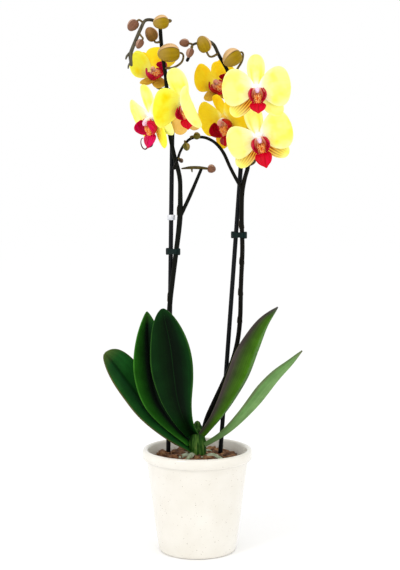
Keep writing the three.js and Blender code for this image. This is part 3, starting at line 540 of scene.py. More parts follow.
# %% Lip materials
def lip_material(name, dark, middle, light):
    """Waxy and saturated: long veins between a dark and a light red, with a soft shine on them."""
    made, tree, shader = material(
        name, Roughness=0.42, IOR=1.42, Specular_IOR_Level=0.12,
        Subsurface_Weight=0.08, Subsurface_Scale=1.0 * MM, Subsurface_Radius=(1.0, 0.2, 0.2),
    )
    veins = fibres(tree, add(tree, "UVMap", uv_map="growth"), (14, 2.4, 1), 3.0)
    body = add(tree, "ValToRGB", {"Fac": veins}, [(0.25, dark), (0.5, middle), (0.8, light)])
    dress(tree, shader, body, veins, 0.3, 0.25)
    return made


# Ruby and dark crimson are darker copies of the crimson lip, painted shade: ruby for the top left bloom, dark
# for the top and the middle bloom of the right spike.
LIP_FINISHES = {  # the middle lobe, then the side lobes
    "ruby": [
        lip_material("waxy lip, ruby", "#780008", "#A80014", "#D0002C"),
        lip_material("waxy side lobe, ruby and magenta", "#8A0014", "#BC0030", "#C82080"),
    ],
    "crimson": [
        lip_material("waxy lip, crimson", "#9C0014", "#CC001C", "#E60040"),
        lip_material("waxy side lobe, crimson and magenta", "#7A0010", "#BC0028", "#D0206A"),
    ],
    "dark": [
        lip_material("waxy lip, dark crimson", "#720008", "#AC0010", "#D0001E"),
        lip_material("waxy side lobe, dark crimson", "#700008", "#A60010", "#CC0030"),
    ],
    "magenta": [
        lip_material("waxy lip, magenta", "#9C0020", "#D00048", "#E0106A"),
        lip_material("waxy side lobe, magenta", "#8C0018", "#C80038", "#E01870"),
    ],
}
print(len(LIP_FINISHES), "lip finishes")

# %% Throat and callus materials
def throat_material(name, margin):
    """Peach at the foot, orange with red lines above, and the margin's colour on both long edges."""
    made, tree, shader = material(
        name, Roughness=0.5, IOR=1.42, Specular_IOR_Level=0.12,
        Subsurface_Weight=0.05, Subsurface_Scale=1.0 * MM,
    )
    place, across, along = growth(tree)
    lines = add(
        tree, "TexWave",
        {"Vector": place, "Scale": 1.3, "Distortion": 5.0, "Detail": 2.0, "Detail Scale": 1.6},
        bands_direction="X",
    )
    spots = add(tree, "TexNoise", {"Vector": place, "Scale": 6.0, "Detail": 2.0})
    both = add(tree, "Math", {0: lines.outputs["Fac"], 1: spots}, operation="ADD")
    half = add(tree, "Math", {0: both, 1: 0.55}, operation="MULTIPLY")
    stops = [(0.22, "#B81C14"), (0.36, "#D85A22"), (0.5, "#EE9038"), (0.66, "#F6BC74")]
    body = add(tree, "ValToRGB", {"Fac": half}, stops)
    foot = add(tree, "ValToRGB", {"Fac": along}, [(0.0, "#F0F0F0"), (0.2, "#C0C0C0"), (0.5, BLACK)])
    flushed = add(tree, "MixRGB", {"Fac": foot, "Color1": body, "Color2": "#FFC8AC"})
    stops = [(0.1, WHITE), (0.2, BLACK), (0.8, BLACK), (0.9, WHITE)]
    rim = add(tree, "ValToRGB", {"Fac": across}, stops)
    edged = add(tree, "MixRGB", {"Fac": rim, "Color1": flushed, "Color2": margin})
    dress(tree, shader, edged, both, 0.3, 0.2)
    return made


THROAT = throat_material("waxy throat, striped orange", "#C00C28")
CALLUS = throat_material("waxy callus, speckled orange", "#EE9038")

# %% Column, tendril and heart materials
def column_material(name, tip):
    """White wax with a blush at the tip, which gives the flower its bright eye."""
    made, tree, shader = material(
        name, Roughness=0.4, IOR=1.42, Specular_IOR_Level=0.15,
        Subsurface_Weight=0.15, Subsurface_Scale=1.5 * MM,
    )
    _, _, along = growth(tree)
    stops = [(0.0, "#FFFFFF"), (0.4, "#FFFBFF"), (0.68, tip), (0.86, tip)]
    dress(tree, shader, add(tree, "ValToRGB", {"Fac": along}, stops))
    return made


COLUMNS = {  # by the finish of the lip
    "crimson": column_material("waxy column, white and mauve", "#F2D2EC"),
    "magenta": column_material("waxy column, white and pink", "#F6CCE2"),
    "dark": column_material("waxy column, blushed", "#E8A090"),
    "ruby": column_material("waxy column, peach", "#F4B898"),
}
TENDRIL_SKIN, _, _ = material(
    "waxy tendril, blackish crimson", Base_Color=colour("#5A0A22"), Roughness=0.4, Specular_IOR_Level=0.2
)
# The golden heart is painted shade, for the blooms whose dorsal sepal has the golden tone.
HEART, HEART_SHADED_GOLD = (
    material(f"orchid heart, {tone}", Base_Color=colour(code), Roughness=0.6, Specular_IOR_Level=0.1)[0]
    for tone, code in (("white", "#FFFFFA"), ("golden", "#F6CC50"))
)
print(len(bpy.data.materials), "materials")

# %% [markdown]
# ## One bloom, seen from the front
# Three sepals stand behind two broad petals. Each blade starts at a narrow claw in the middle of the
# flower, widens like an ellipse, and cups, arches and waves a little. One formula makes all five,
# because only the numbers differ. A young bloom is still cupped, so its blades fold forward on a
# hinge near the centre, and a blade may also curl along its length. The wall is added by a Solidify
# modifier, and one level of subdivision rounds the margins.

# %% Blades of a bloom, at full size
# Turn is anticlockwise from the right, in degrees. Belly is how much fuller the outer half is than
# the inner one, and depth is how far a blade starts in front of the middle. Shape is lift, arch, cup
# and wave, in millimetres.
SEPAL = dict(length=38, width=21, claw=6, belly=0.05, depth=-1.6, shape=(-1, 0, -1, 0))
PETAL = dict(length=36, width=43, claw=5, belly=0.3, depth=0.4, shape=(3, -3, -0.8, 1))
TEPALS = {
    "dorsal_sepal": dict(SEPAL, turn=90, length=35, width=20, belly=0.1, shape=(0, 1, -1, 0)),
    "left_sepal": dict(SEPAL, turn=-134),
    "right_sepal": dict(SEPAL, turn=-46),
    "left_petal": dict(PETAL, turn=176, width=40),
    "right_petal": dict(PETAL, turn=4),
}
BLADE = 0.8  # the thickness
TIP_WIDTH = 2.4
ROOT_REACH = 3  # from the middle of the bloom to where a blade starts
HINGE = 4.5  # and to where it folds


def blade_point(turn, length, width, claw, belly, depth, shape, fold, curl, seed):
    """The middle surface of one blade, in the bloom's own frame: +Z comes out of its face."""
    lift, arch, cup, wave = shape
    c, s = math.cos(math.radians(turn)), math.sin(math.radians(turn))
    start, rate = math.radians(fold), math.radians(curl) / length

    def point(t, v):
        v = -v
        share = (1 - math.cos(math.pi * t)) / 2
        fat = math.sin(math.pi * t) * (1 - belly * math.cos(math.pi * t))
        half = ((width - claw * (1 - t) ** 2) * fat + claw * (1 - t) ** 2 + TIP_WIDTH * t * t) / 2
        reach = ROOT_REACH + length * share - HINGE
        ripple = wave * v * v * math.sin(2.5 * math.pi * share + v)
        ruffle = 0.5 * v**4 * fat * noise.noise(Vector((share * 5, v * 2, seed)))
        keel = -0.5 * math.exp(-((v / 0.09) ** 2)) * fat
        out = lift * share + arch * share * share + cup * fat * v * v + ripple + ruffle + keel
        here = start + rate * max(reach, 0)
        run, rise = reach * math.cos(start), reach * math.sin(start)
        if rate and reach > 0:
            run = (math.sin(here) - math.sin(start)) / rate
            rise = (math.cos(start) - math.cos(here)) / rate
        along = HINGE + run - out * math.sin(here)
        forward = depth + rise + out * math.cos(here)
        return Vector((c * along - s * half * v, s * along + c * half * v, forward))

    return point

# %% Where a bloom and its mouth stand
HUB = (5.6, 3.4)  # radius and half depth of the disc that the blades grow from
GAP = 0.3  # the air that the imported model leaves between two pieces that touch


def facing(bloom):
    yaw, pitch, turn = (math.radians(a) for a in bloom["aim"])
    face = Matrix.Rotation(yaw, 4, "Z") @ Matrix.Rotation(math.pi / 2 + pitch, 4, "X")
    face = face @ Matrix.Rotation(turn, 4, "Z") @ Matrix.Scale(bloom["size"], 4)
    return Matrix.Translation(bloom["centre"]) @ face


def mouth(bloom):
    """The frame of the column and the lip, which may be turned and have a size of their own."""
    seat = Matrix.Translation((0, 0, (1 - bloom["lip_size"]) * (HUB[1] + GAP)))
    turn = Matrix.Rotation(math.radians(bloom.get("turns", {}).get("lip", 0)), 4, "Z")
    return facing(bloom) @ seat @ turn @ Matrix.Scale(bloom["lip_size"], 4)


print("the top left bloom's mouth is at", tuple(round(v) for v in mouth(BLOOMS["left_top"]).translation))

# %% [markdown]
# The tones differ by painted light and shade: the pale tone is painted light, and golden, amber,
# mustard and ochre are painted shade. The two that face the room and the low one on the left are
# pale. The two top ones and the turned one on the right spike are golden. The middle one of the left
# spike is bright at one side and pale at the other. A bloom's blades share one piece, with one pair
# of materials for each tone and mark that it has.

# %% The petals and sepals of the seven blooms
PLAIN, STRIPED = ("plain", "plain"), ("striped", "striped")  # the marks of the left and the right sepal
# Each bloom's tones are painted light and shade, and so are its backs: the ochre backs of the two top blooms
# are painted shade on their undersides.
BLOOM_TONES = {  # left petal, right petal, dorsal sepal, lower sepals, their backs, their marks
    "left_top": ("bright", "golden", "golden", "mustard", "ochre", PLAIN),
    "left_middle": ("bright", "pale", "pale", "amber", "amber", PLAIN),
    "left_low": ("pale", "pale", "pale", "bright", "pale", PLAIN),
    "right_top": ("golden", "golden", "golden", "mustard", "ochre", PLAIN),
    "right_middle": ("golden", "golden", "golden", "golden", "golden", STRIPED),
    "right_front_high": ("pale", "pale", "pale", "pale", "pale", ("striped", "plain")),
    "right_front_low": ("pale", "pale", "pale", "pale", "pale", STRIPED),
}
FINE, COARSE = (18, 20), (10, 18)  # faces across and along a petal and a sepal


def make_blades(name, bloom):
    left, right, dorsal, sepals, back, marks = BLOOM_TONES[name]
    left_sepal, right_sepal = (petal_finish(sepals, mark, back) for mark in marks)
    finishes = {
        "left_petal": petal_finish(left),
        "right_petal": petal_finish(right),
        "dorsal_sepal": petal_finish(dorsal, "streaked" if dorsal == "pale" else "plain"),
        "left_sepal": left_sepal,
        "right_sepal": right_sepal,
    }
    used = []
    shape = new_mesh()
    for seed, (blade, size) in enumerate(TEPALS.items()):
        pair = finishes[blade]
        if pair[0] not in used:
            used.extend(pair)
        turn, fold, curl = (bloom.get(bend, {}).get(blade, 0) for bend in ("turns", "folds", "curls"))
        grow = bloom.get("grow", {}).get(blade, 1)
        own = dict(size, turn=size["turn"] + turn, length=size["length"] * grow, width=size["width"] * grow)
        across, along = FINE if "petal" in blade else COARSE
        sheet(shape, across, along, blade_point(**own, fold=fold, curl=curl, seed=seed), used.index(pair[0]))
    finish_piece(
        f"blades_{name}", shape, used, [f"bloom_{name}_tepals"], BLADE, closed=False,
        place=facing(bloom),
    )


for name, bloom in BLOOMS.items():
    make_blades(name, bloom)

# %% [markdown]
# ## Heart, column and lip
# A small disc joins the five blades and the stalk, which shows from behind. The column is a short
# waxy rod with a rounded cap. The lip has a claw that runs down from it as the striped throat, a
# callus of three humps, a lobe like an ear on each side, and a middle lobe with two round shoulders
# and a short tongue. Ears and middle lobe are thick sheets, and the humps are rolled grids.

# %% Hearts and columns
COLUMN_LINE = [(0, -0.2, 3.8, 2.8), (0, -0.5, 7.5, 2.7), (0, -1.4, 9.6, 3.1), (0, -2.2, 11.4, 2.6)]
BEAK = ((0, -3.4, 10.6), (2.2, 1.7, 1.7))  # centre and half sizes
FRONT = 0.9  # how deep the heart's front is, as a share of its back


def egg(shape, centre, size, around=12, along=8, front=1.0):
    """A rounded swelling with three half sizes. Front is how deep its outer half is, as a share."""

    def point(t, angle):
        ring = math.sin(math.pi * t)
        rise = -size[2] * math.cos(math.pi * t) * (1.0 if t < 0.5 else front)
        across, up = size[0] * ring * math.cos(angle), size[1] * ring * math.sin(angle)
        return Vector(centre) + Vector((across, up, rise))

    roll(shape, around, along, point)


def make_heart(name, bloom):
    radius, depth = HUB
    shape = new_mesh()
    egg(shape, (0, 0, 0), (radius, radius, depth), 20, 12, FRONT)
    _, _, dorsal, *_ = BLOOM_TONES[name]
    skin = HEART_SHADED_GOLD if dorsal == "golden" else HEART
    finish_piece(f"heart_{name}", shape, [skin], place=facing(bloom))


def make_column(name, bloom):
    shape = new_mesh()
    tube(shape, COLUMN_LINE, around=14, step=1.4)
    egg(shape, *BEAK)
    finish_piece(
        f"column_{name}", shape, [COLUMNS[bloom["lip"]]], [f"bloom_{name}_column"],
        place=mouth(bloom),
    )


for name, bloom in BLOOMS.items():
    make_heart(name, bloom)
    make_column(name, bloom)

# %% The side lobes and the middle lobe of a lip
# In the mouth's own frame, y runs up along the bloom's face and z comes out of it. An ear's root and
# tip are (y, z), and so are the start and the reach of the middle lobe.
EAR = dict(
    x=4.6, bulge=5.2, sweep=0.85, root=(-15.5, 8), tip=(0.5, 12.6), width=12.5, foot=4.5, end=2, hollow=1.2,
)
LOBE = dict(start=(-16, 8), reach=(-11.5, 10.5), width=19, curl=2.4, middle=0.42, half=0.5, tongue=4.2)


def ear_point(side, lean):
    """A side lobe: it stands beside the column, hollow towards it, and leans out by some degrees."""
    out_share, up_share = math.sin(math.radians(lean)), math.cos(math.radians(lean))

    def point(t, v):
        share = (1 - math.cos(math.pi * t)) / 2
        half = (math.sin(math.pi * t) * EAR["width"] + EAR["foot"] * (1 - t) ** 2 + EAR["end"] * t * t) / 2
        y, z = (mix(a, b, share) for a, b in zip(EAR["root"], EAR["tip"]))
        hollow = EAR["hollow"] * math.sin(math.pi * t) * (1 - v * v)
        opened = half * (1 + v)
        out = EAR["x"] + EAR["bulge"] * math.sin(EAR["sweep"] * math.pi * share) - 0.8
        out += hollow * up_share + opened * out_share
        return Vector((side * out, y - 0.2 * half * v, z - half + opened * up_share - hollow * out_share))

    return point


def lobe_point(length):
    """The middle lobe: two round shoulders, then a short tongue."""

    def point(t, v):
        share = (1 - math.cos(math.pi * t)) / 2
        disc = LOBE["width"] / 2 * math.sqrt(max(1 - ((share - LOBE["middle"]) / LOBE["half"]) ** 2, 0))
        tongue = LOBE["tongue"] * math.sqrt(max(1 - (2 * share - 1) ** 2, 0))
        half = max((disc**4 + tongue**4) ** 0.25, 0.4)
        keel = 0.9 * math.exp(-((v / 0.22) ** 2)) * math.sin(math.pi * t)
        y = LOBE["start"][0] + LOBE["reach"][0] * length * share
        y += LOBE["curl"] * math.sin(math.pi * share) - 0.05 * half * v * v + 0.6 * keel
        z = LOBE["start"][1] + LOBE["reach"][1] * length * share - 0.12 * half * v * v + keel
        return Vector((half * v, y, z))

    return point

# %% The throat, the callus and the tendrils
THROAT_LINE = [(0, 1.0, 4.4), (0, -4.0, 5.0), (0, -8.5, 6.2), (0, -17.5, 9.0)]
THROAT_HALF = 6.2  # at least, from the middle to the rim
HUMPS = [  # centre and half sizes
    ((-2.4, -10, 9.2), (2.8, 4.2, 2.6)),
    ((2.4, -10, 9.2), (2.8, 4.2, 2.6)),
    ((0, -14.4, 10.2), (3.4, 2.6, 2.2)),
]
TENDRILS = [  # each (x, y, z, radius)
    [(-0.8, -26.6, 18, 0.9), (-4.4, -28.6, 19, 0.8), (-8.6, -27.2, 18.6, 0.7), (-10.6, -22.5, 17, 0.6),
     (-9, -18.5, 15.6, 0.5), (-6.4, -17.4, 15, 0.4)],
    [(0.8, -26.6, 17.4, 0.9), (3, -26.4, 15, 0.8), (4.2, -23.4, 13, 0.7), (4, -20.4, 12, 0.6)],
]


def throat_point(t, v):
    """The claw of the lip, a gutter as wide as the ears stand apart, which rises to them."""
    line = curve(THROAT_LINE, 1.0)
    centre = line[round(t * (len(line) - 1))][0]
    low, high = EAR["root"][0], EAR["tip"][0]
    share = min(max((centre.y - low) / (high - low), 0), 1)
    apart = EAR["x"] - 1.1 + EAR["bulge"] * math.sin(EAR["sweep"] * math.pi * share)
    half = max(THROAT_HALF, apart)
    return centre + Vector((half * v, -0.3 * v * v, 2.4 * v * v))

# %% The seven lips
LIP_WALL, THROAT_WALL = 1.2, 1.0


def make_lip(name, bloom):
    """The crimson sheets, the striped throat and the callus, and on one bloom the tendrils."""
    place = mouth(bloom)
    shape = new_mesh()
    for side, lean in zip((-1, 1), bloom["ears"]):
        sheet(shape, 10, 14, ear_point(side, lean), 1)
    sheet(shape, 16, 16, lobe_point(bloom["lobe"]), 0)
    lobes = finish_piece(
        f"lip_{name}", shape, LIP_FINISHES[bloom["lip"]], [f"bloom_{name}_lip"], LIP_WALL,
        closed=False, place=place,
    )
    lobes.modifiers["wall"].material_offset = 0  # both sides of a lobe have the same skin
    shape = new_mesh()
    sheet(shape, 8, 10, throat_point)
    finish_piece(f"throat_{name}", shape, [THROAT], thick=THROAT_WALL, closed=False, place=place)
    shape = new_mesh()
    for centre, size in HUMPS:
        egg(shape, centre, size)
    finish_piece(f"callus_{name}", shape, [CALLUS], place=place)
    if bloom["lip"] == "magenta":
        shape = new_mesh()
        for route in TENDRILS:
            tube(shape, route, around=8, step=0.8)
        finish_piece(f"tendrils_{name}", shape, [TENDRIL_SKIN], place=place)


for name, bloom in BLOOMS.items():
    make_lip(name, bloom)

# %% [markdown]
# ## Stems, buds and leaves: their finishes
# The spikes are hard green stems that have turned almost black, a little greyer and browner where
# they are young. Bud sepals are thick and matt, olive or brown below and peach above: partly their
# own colours, and partly painted light on the upper side and painted shade below. No two buds are
# quite alike, so four have a finish of their own. A moth orchid's leaf is leathery with a waxy gloss,
# very dark above, lighter below, with a pale or a dull purple margin.

# %% Stem materials
def stem_material(name, old, young, axis, low, high):
    """Hard and dark, with short streaks. Old up to low and young from high on, in mm along an axis."""
    made, tree, shader = material(name, Roughness=0.5, IOR=1.42, Specular_IOR_Level=0.1)
    place = solid(tree)
    axes = add(tree, "SeparateXYZ", {0: place})
    age = add(tree, "MapRange", {"Value": axes.outputs[axis], "From Min": low * MM, "From Max": high * MM})
    grain = fibres(tree, place, (1, 1, 0.18), 3.0, 1 / (1.6 * MM))
    tint = add(tree, "MixRGB", {"Fac": age, "Color1": old, "Color2": young})
    base = shaded(tree, tint, grain, (0.35, 0.75), (0.6, 1.5))
    dress(tree, shader, base, grain, 0.25, 0.2)
    return made


STEMS = {  # the left spike is young where it hangs over to the left, the right one at its top
    "left": stem_material("flower stem, blackened green", "#0C0E08", "#565142", "X", -45, -58),
    "right": stem_material("flower stem, blackish brown", "#0E0C06", "#565142", "Z", 562, 582),
}
STALK = stem_material("flower stalk, ochre green", "#4E4420", "#6E5C34", "Z", 430, 560)
BRACT = stem_material("stem bract, dry brown", "#5A5140", "#6E624A", "Z", 300, 500)

# %% Bud materials
def bud_material(name, upper, lower, tip, seam):
    """Each third of the bud is one sepal. The upper one is lighter, partly its own peach and partly painted
    light from above, and the lower ones darker, partly painted shade. The skin is matt.
    """
    made, tree, shader = material(
        name, Roughness=0.5, IOR=1.4, Specular_IOR_Level=0.15,
        Subsurface_Weight=0.08, Subsurface_Scale=1.0 * MM, Subsurface_Radius=(1.0, 0.7, 0.3),
    )
    place, around, along = growth(tree)
    thirds = add(tree, "ValToRGB", {"Fac": around}, [
        (0.0, lower), (0.066, lower), (0.083, seam), (0.1, upper), (0.25, upper), (0.4, upper),
        (0.417, seam), (0.434, lower), (0.6, lower), (0.738, lower), (0.75, seam), (0.762, lower),
    ])
    to_tip = add(tree, "MapRange", {"Value": along, "From Min": 0.45, "From Max": 1.0, "To Max": 0.85})
    toned = add(tree, "MixRGB", {"Fac": to_tip, "Color1": thirds, "Color2": tip})
    mottle = fibres(tree, place, (22, 2.5, 1), 2.0)
    base = shaded(tree, toned, mottle, (0.3, 0.7), (0.84, 1.1))
    dress(tree, shader, base, mottle, 0.15, 0.15)
    return made


BUD_FINISHES = {  # by kind, and four buds by their names
    "arc_low": bud_material("bud sepal, blackish brown", "#6A5440", "#33241A", "#46342A", "#1C120C"),
    "arc_top": bud_material("bud sepal, dark olive", "#8A7838", "#565010", "#6E6430", "#2E2A0A"),
    "left_inner": bud_material("bud sepal, tan", "#C08A50", "#72501C", "#B88858", "#3A2410"),
    "olive": bud_material("bud sepal, olive and peach", "#E0B884", "#9A7C04", "#A88A4C", "#54420C"),
    "brown": bud_material("bud sepal, pink brown", "#B48E78", "#7C543E", "#82604E", "#3A2018"),
}
BUD_FINISHES["arc_middle"] = BUD_FINISHES["arc_top"]

# %% Leaf materials
def leaf_material(name, stops, tip, gloss):
    """Waxy, with long fine lines. Colour runs from the left margin to the right, with painted light and shade
    across it, and fades at the tip.
    """
    made, tree, shader = material(name, Roughness=gloss, IOR=1.43, Specular_IOR_Level=0.06)
    place, across, along = growth(tree)
    body = add(tree, "ValToRGB", {"Fac": across}, stops)
    old = add(tree, "MapRange", {"Value": along, "From Min": 0.8, "From Max": 0.97, "To Max": 0.9})
    toned = add(tree, "MixRGB", {"Fac": old, "Color1": body, "Color2": tip})
    lines = fibres(tree, place, (36, 1.6, 1), 3.0)
    blotch = add(tree, "TexNoise", {"Vector": solid(tree), "Scale": 1 / (16 * MM), "Detail": 3.0})
    both = add(tree, "Math", {0: lines, 1: blotch}, operation="ADD")
    base = shaded(tree, toned, both, (0.7, 1.3), (0.7, 1.3))
    dress(tree, shader, base, lines, 0.22, 0.3)
    return made


UNDER_DEEP = [(0.0, "#2E5A14"), (0.3, "#356A16"), (0.5, "#1E4A10"), (0.7, "#356A16"), (1.0, "#3A3A2A")]
# The upper sides are darker along the fold of the midrib, which is painted shade. The left middle leaf is
# also lighter by its left margin, which is painted light, and near black in its fold, which is painted shade.
LEAF_FINISHES = {  # the upper side, then the back
    "left_low": [
        leaf_material("orchid leaf, mid green", [
            (0.0, "#5A5430"), (0.04, "#1C4E1A"), (0.4, "#12401A"), (0.5, "#0A2A0E"), (0.58, "#164A18"),
            (0.96, "#1C5420"), (1.0, "#5A5430"),
        ], "#4A5A2A", 0.4),
        leaf_material("orchid leaf back, green", UNDER_DEEP, "#5A5434", 0.5),
    ],
    "left_middle": [
        leaf_material("orchid leaf, striped green", [
            (0.0, "#3E7A24"), (0.03, "#1E5610"), (0.26, "#123E0A"), (0.42, "#020A04"), (0.52, "#010602"),
            (0.72, "#0A3410"), (0.95, "#124418"), (1.0, "#4A6A30"),
        ], "#2A5412", 0.4),
        leaf_material("orchid leaf back, deep green", UNDER_DEEP, "#5A6434", 0.5),
    ],
    "left_high": [
        leaf_material("orchid leaf, blackish green", [
            (0.0, "#2E5A1C"), (0.03, "#082A0A"), (0.3, "#041C04"), (0.485, "#020C02"), (0.5, "#0A2C0C"),
            (0.515, "#020C02"), (0.72, "#021404"), (0.94, "#06300A"), (1.0, "#2A5218"),
        ], "#0A300C", 0.38),
        leaf_material("orchid leaf back, dark", UNDER_DEEP, "#6A7A4A", 0.5),
    ],
    "right_low": [
        leaf_material("orchid leaf, fresh green", [(0.0, "#4A7A30"), (0.5, "#28591C"), (1.0, "#4A7A30")],
                      "#5A6A3A", 0.42),
        leaf_material("orchid leaf back, sage", [
            (0.0, "#6E925A"), (0.4, "#688E52"), (0.5, "#789C60"), (0.9, "#5E864A"), (1.0, "#62624A"),
        ], "#6A6450", 0.55),
    ],
    "right_high": [
        leaf_material("orchid leaf, olive green", [(0.0, "#3A6A1C"), (0.5, "#1C4A12"), (1.0, "#4A4A34")],
                      "#4A4A3C", 0.42),
        leaf_material("orchid leaf back, bright olive", [
            (0.0, "#36620E"), (0.1, "#3E6E0C"), (0.34, "#44780A"), (0.5, "#3C6A0C"), (0.74, "#344E18"),
            (0.92, "#3C3830"), (1.0, "#443A3C"),
        ], "#4E464A", 0.5),
    ],
}
print(len(bpy.data.materials), "materials")

# %% [markdown]
# ## Spikes, stalks and bracts
# A spike is one body on the real plant: the stem, its branches and every stalk on it. Here it is one
# piece too, made of tubes that start inside each other. At each node a dry bract wraps half of the
# stem and ends in a point.

# %% The two spikes
BRACT_WIDTH, BRACT_LENGTH = 4.2, 12
BRACT_SIDE = {"left": 90, "right": 60}  # where round the stem it sits, in degrees


def bract(shape, line, height, around):
    """A pointed scale that is pressed to the stem, at the ring nearest to a height."""
    centre, forward, side, across, radius = min(line, key=lambda ring: abs(ring[0].z - height))
    turn = math.radians(around)
    out = side * math.cos(turn) + across * math.sin(turn)
    beside = forward.cross(out)

    def point(t, v):
        angle = BRACT_WIDTH * (1 - t**1.6) * v / radius
        lift = radius + 0.35 + 0.5 * t
        place = centre + forward * (BRACT_LENGTH * t) + out * (lift * math.cos(angle))
        return place + beside * (lift * math.sin(angle))

    sheet(shape, 8, 8, point)


def make_spike(side):
    spike = SPIKES[side]
    shape = new_mesh()
    tube(shape, spike["trunk"], around=14, step=4, bumps=0.04)
    for i, branch in enumerate(spike["branches"]):
        tube(shape, branch, around=12, step=3, slot=1 if i in spike["young"] else 0, bumps=0.12)
    for name, bloom in BLOOMS.items():
        if name.startswith(side):
            out = facing(bloom).to_3x3() @ UP
            centre = Vector(bloom["centre"])
            ends = [(*(centre - out * 9), 1.6), (*(centre - out * 3), 1.9)]
            tube(shape, [(*p, 1.5) for p in bloom["pedicel"]] + ends, around=10, step=3, slot=1)
    for name, (foot, tip, *_, stalk) in BUDS.items():
        carried = name.startswith(side) or (side == "right" and name.startswith("arc"))
        if carried and stalk:
            away = (Vector(foot) - Vector(tip)).normalized()
            ends = [(*(Vector(foot) + away * 1.8), 1.2), (*(Vector(foot) - away * 0.6), 1.3)]
            tube(shape, [*stalk, *ends], around=10, step=2, slot=1)
    finish_piece(f"stems_{side}", shape, [STEMS[side], STALK], [f"spike_{side}"])
    scales = new_mesh()
    line = rings(spike["trunk"], 3)
    for height in spike["nodes"]:
        bract(scales, line, height - 4, BRACT_SIDE[side])
    finish_piece(f"bracts_{side}", scales, [BRACT], thick=0.5, closed=False)


for side in SPIKES:
    make_spike(side)

# %% [markdown]
# ## Buds
# A closed bud is an egg of three thick sepals that meet along seams and pinch together at the tip.
# The egg is a rolled grid, blunt at the stalk, with the three seams pressed in. Its first direction
# is turned so that a seam runs along both sides of the upper third, as on the real buds.

# %% The thirteen buds
BUD_GIRTH = 0.44  # where a bud is widest, as a share of its length
SEAMS = [math.radians(a) for a in (30, 150, 270)]


def make_bud(name, foot, tip, width, kind):
    foot, tip = Vector(foot), Vector(tip)
    axis = tip - foot
    length = axis.length
    axis.normalize()
    top = UP - axis * axis.dot(UP)
    top = top.normalized() if top.length > 0.3 else axis.orthogonal().normalized()
    beside = axis.cross(top)

    def point(t, angle):
        share = (1 - math.cos(math.pi * t)) / 2
        if share > BUD_GIRTH:
            fat = math.sqrt(max(1 - ((share - BUD_GIRTH) / (1 - BUD_GIRTH)) ** 1.75, 0))
        else:
            fat = math.sqrt(max(1 - ((BUD_GIRTH - share) / (BUD_GIRTH + 0.02)) ** 2.4, 0))
        if t in (0, 1):
            fat = 0
        seam = min(abs((angle - at + math.pi) % (2 * math.pi) - math.pi) for at in SEAMS)
        groove = 1 - 0.07 * math.exp(-((seam / 0.16) ** 2)) * math.sin(math.pi * share) ** 0.5
        radius = width / 2 * fat * groove
        bow = top * (0.03 * length * math.sin(math.pi * share))
        spoke = beside * math.cos(angle) + top * math.sin(angle)
        return foot + axis * (length * share) + bow + spoke * radius

    shape = new_mesh()
    roll(shape, 36, 18, point)
    skin = BUD_FINISHES.get(name, BUD_FINISHES[kind])
    finish_piece(f"sepals_{name}", shape, [skin], [f"bud_{name}"])


for name, (*measures, _) in BUDS.items():
    make_bud(name, *measures)

# %% [markdown]
# ## Leaves
# Five leathery leaves stand in a fan. Each is folded along its midrib like a shallow gutter, is
# narrow where it clasps the crown, and widest past its middle. The margin waves very slightly. The
# Solidify modifier gives the back its own material, because the underside is lighter.

# %% The five leaves
LEAF_WALL = 1.8


def smoothstep(x, low, high):
    """Rises from 0 to 1 between low and high, without a corner."""
    x = min(max((x - low) / (high - low), 0), 1)
    return x * x * (3 - 2 * x)


def leaf_share(s, end):
    foot = 0.32 + 0.68 * smoothstep(s, 0, 0.6)
    past = min(max((s - 0.6) / 0.4, 0), 1)
    return foot * max(1 - past ** end[0], 0) ** end[1]


def make_leaf(name, midrib, width, fold, across, end):
    centres = [p[0] for p in curve(midrib, 1.5)]
    runs = [0.0]
    for a, b in zip(centres, centres[1:]):
        runs.append(runs[-1] + (b - a).length)
    rise = math.radians(fold)

    def at(s):
        """The midrib's point and direction at a share of its length."""
        goal = s * runs[-1]
        i = min(max(k for k, run in enumerate(runs) if run <= goal + 1e-9), len(runs) - 2)
        share = (goal - runs[i]) / (runs[i + 1] - runs[i])
        ahead = centres[min(i + 3, len(centres) - 1)] - centres[max(i - 2, 0)]
        return centres[i].lerp(centres[i + 1], share), ahead.normalized()

    def point(t, v):
        s = 1 - (1 - t) ** 1.5
        centre, forward = at(s)
        side = Vector(across)
        side = (side - forward * side.dot(forward)).normalized()
        upper = side.cross(forward)
        half = max(width / 2 * leaf_share(s, end), 0.6)
        gutter = math.sqrt(v * v + 0.02) - math.sqrt(0.02)
        ripple = 0.7 * v**4 * noise.noise(centre * 0.03 + UP * (3 * v)) * min(half / 12, 1)
        return centre + side * (half * v * math.cos(rise)) + upper * (half * gutter * math.sin(rise) + ripple)

    shape = new_mesh()
    sheet(shape, 16, 36, point)
    finish_piece(
        f"blade_of_leaf_{name}", shape, LEAF_FINISHES[name], [f"leaf_{name}"],
        LEAF_WALL, closed=False,
    )


for name, measures in LEAVES.items():
    make_leaf(name, *measures)

# %% [markdown]
# ## Pot, bark, roots and supports: their finishes
# The pot is thrown stoneware with a smooth cream glaze: glossy, a little uneven, with tiny dark
# specks of iron. Pine bark chips are rough, dry and brown. The thick roots have a spongy, silver
# green skin, and the old sheaths round the crown are fibrous. The stakes are lacquered bamboo, the
# clips moulded plastic and the band soft clear plastic.

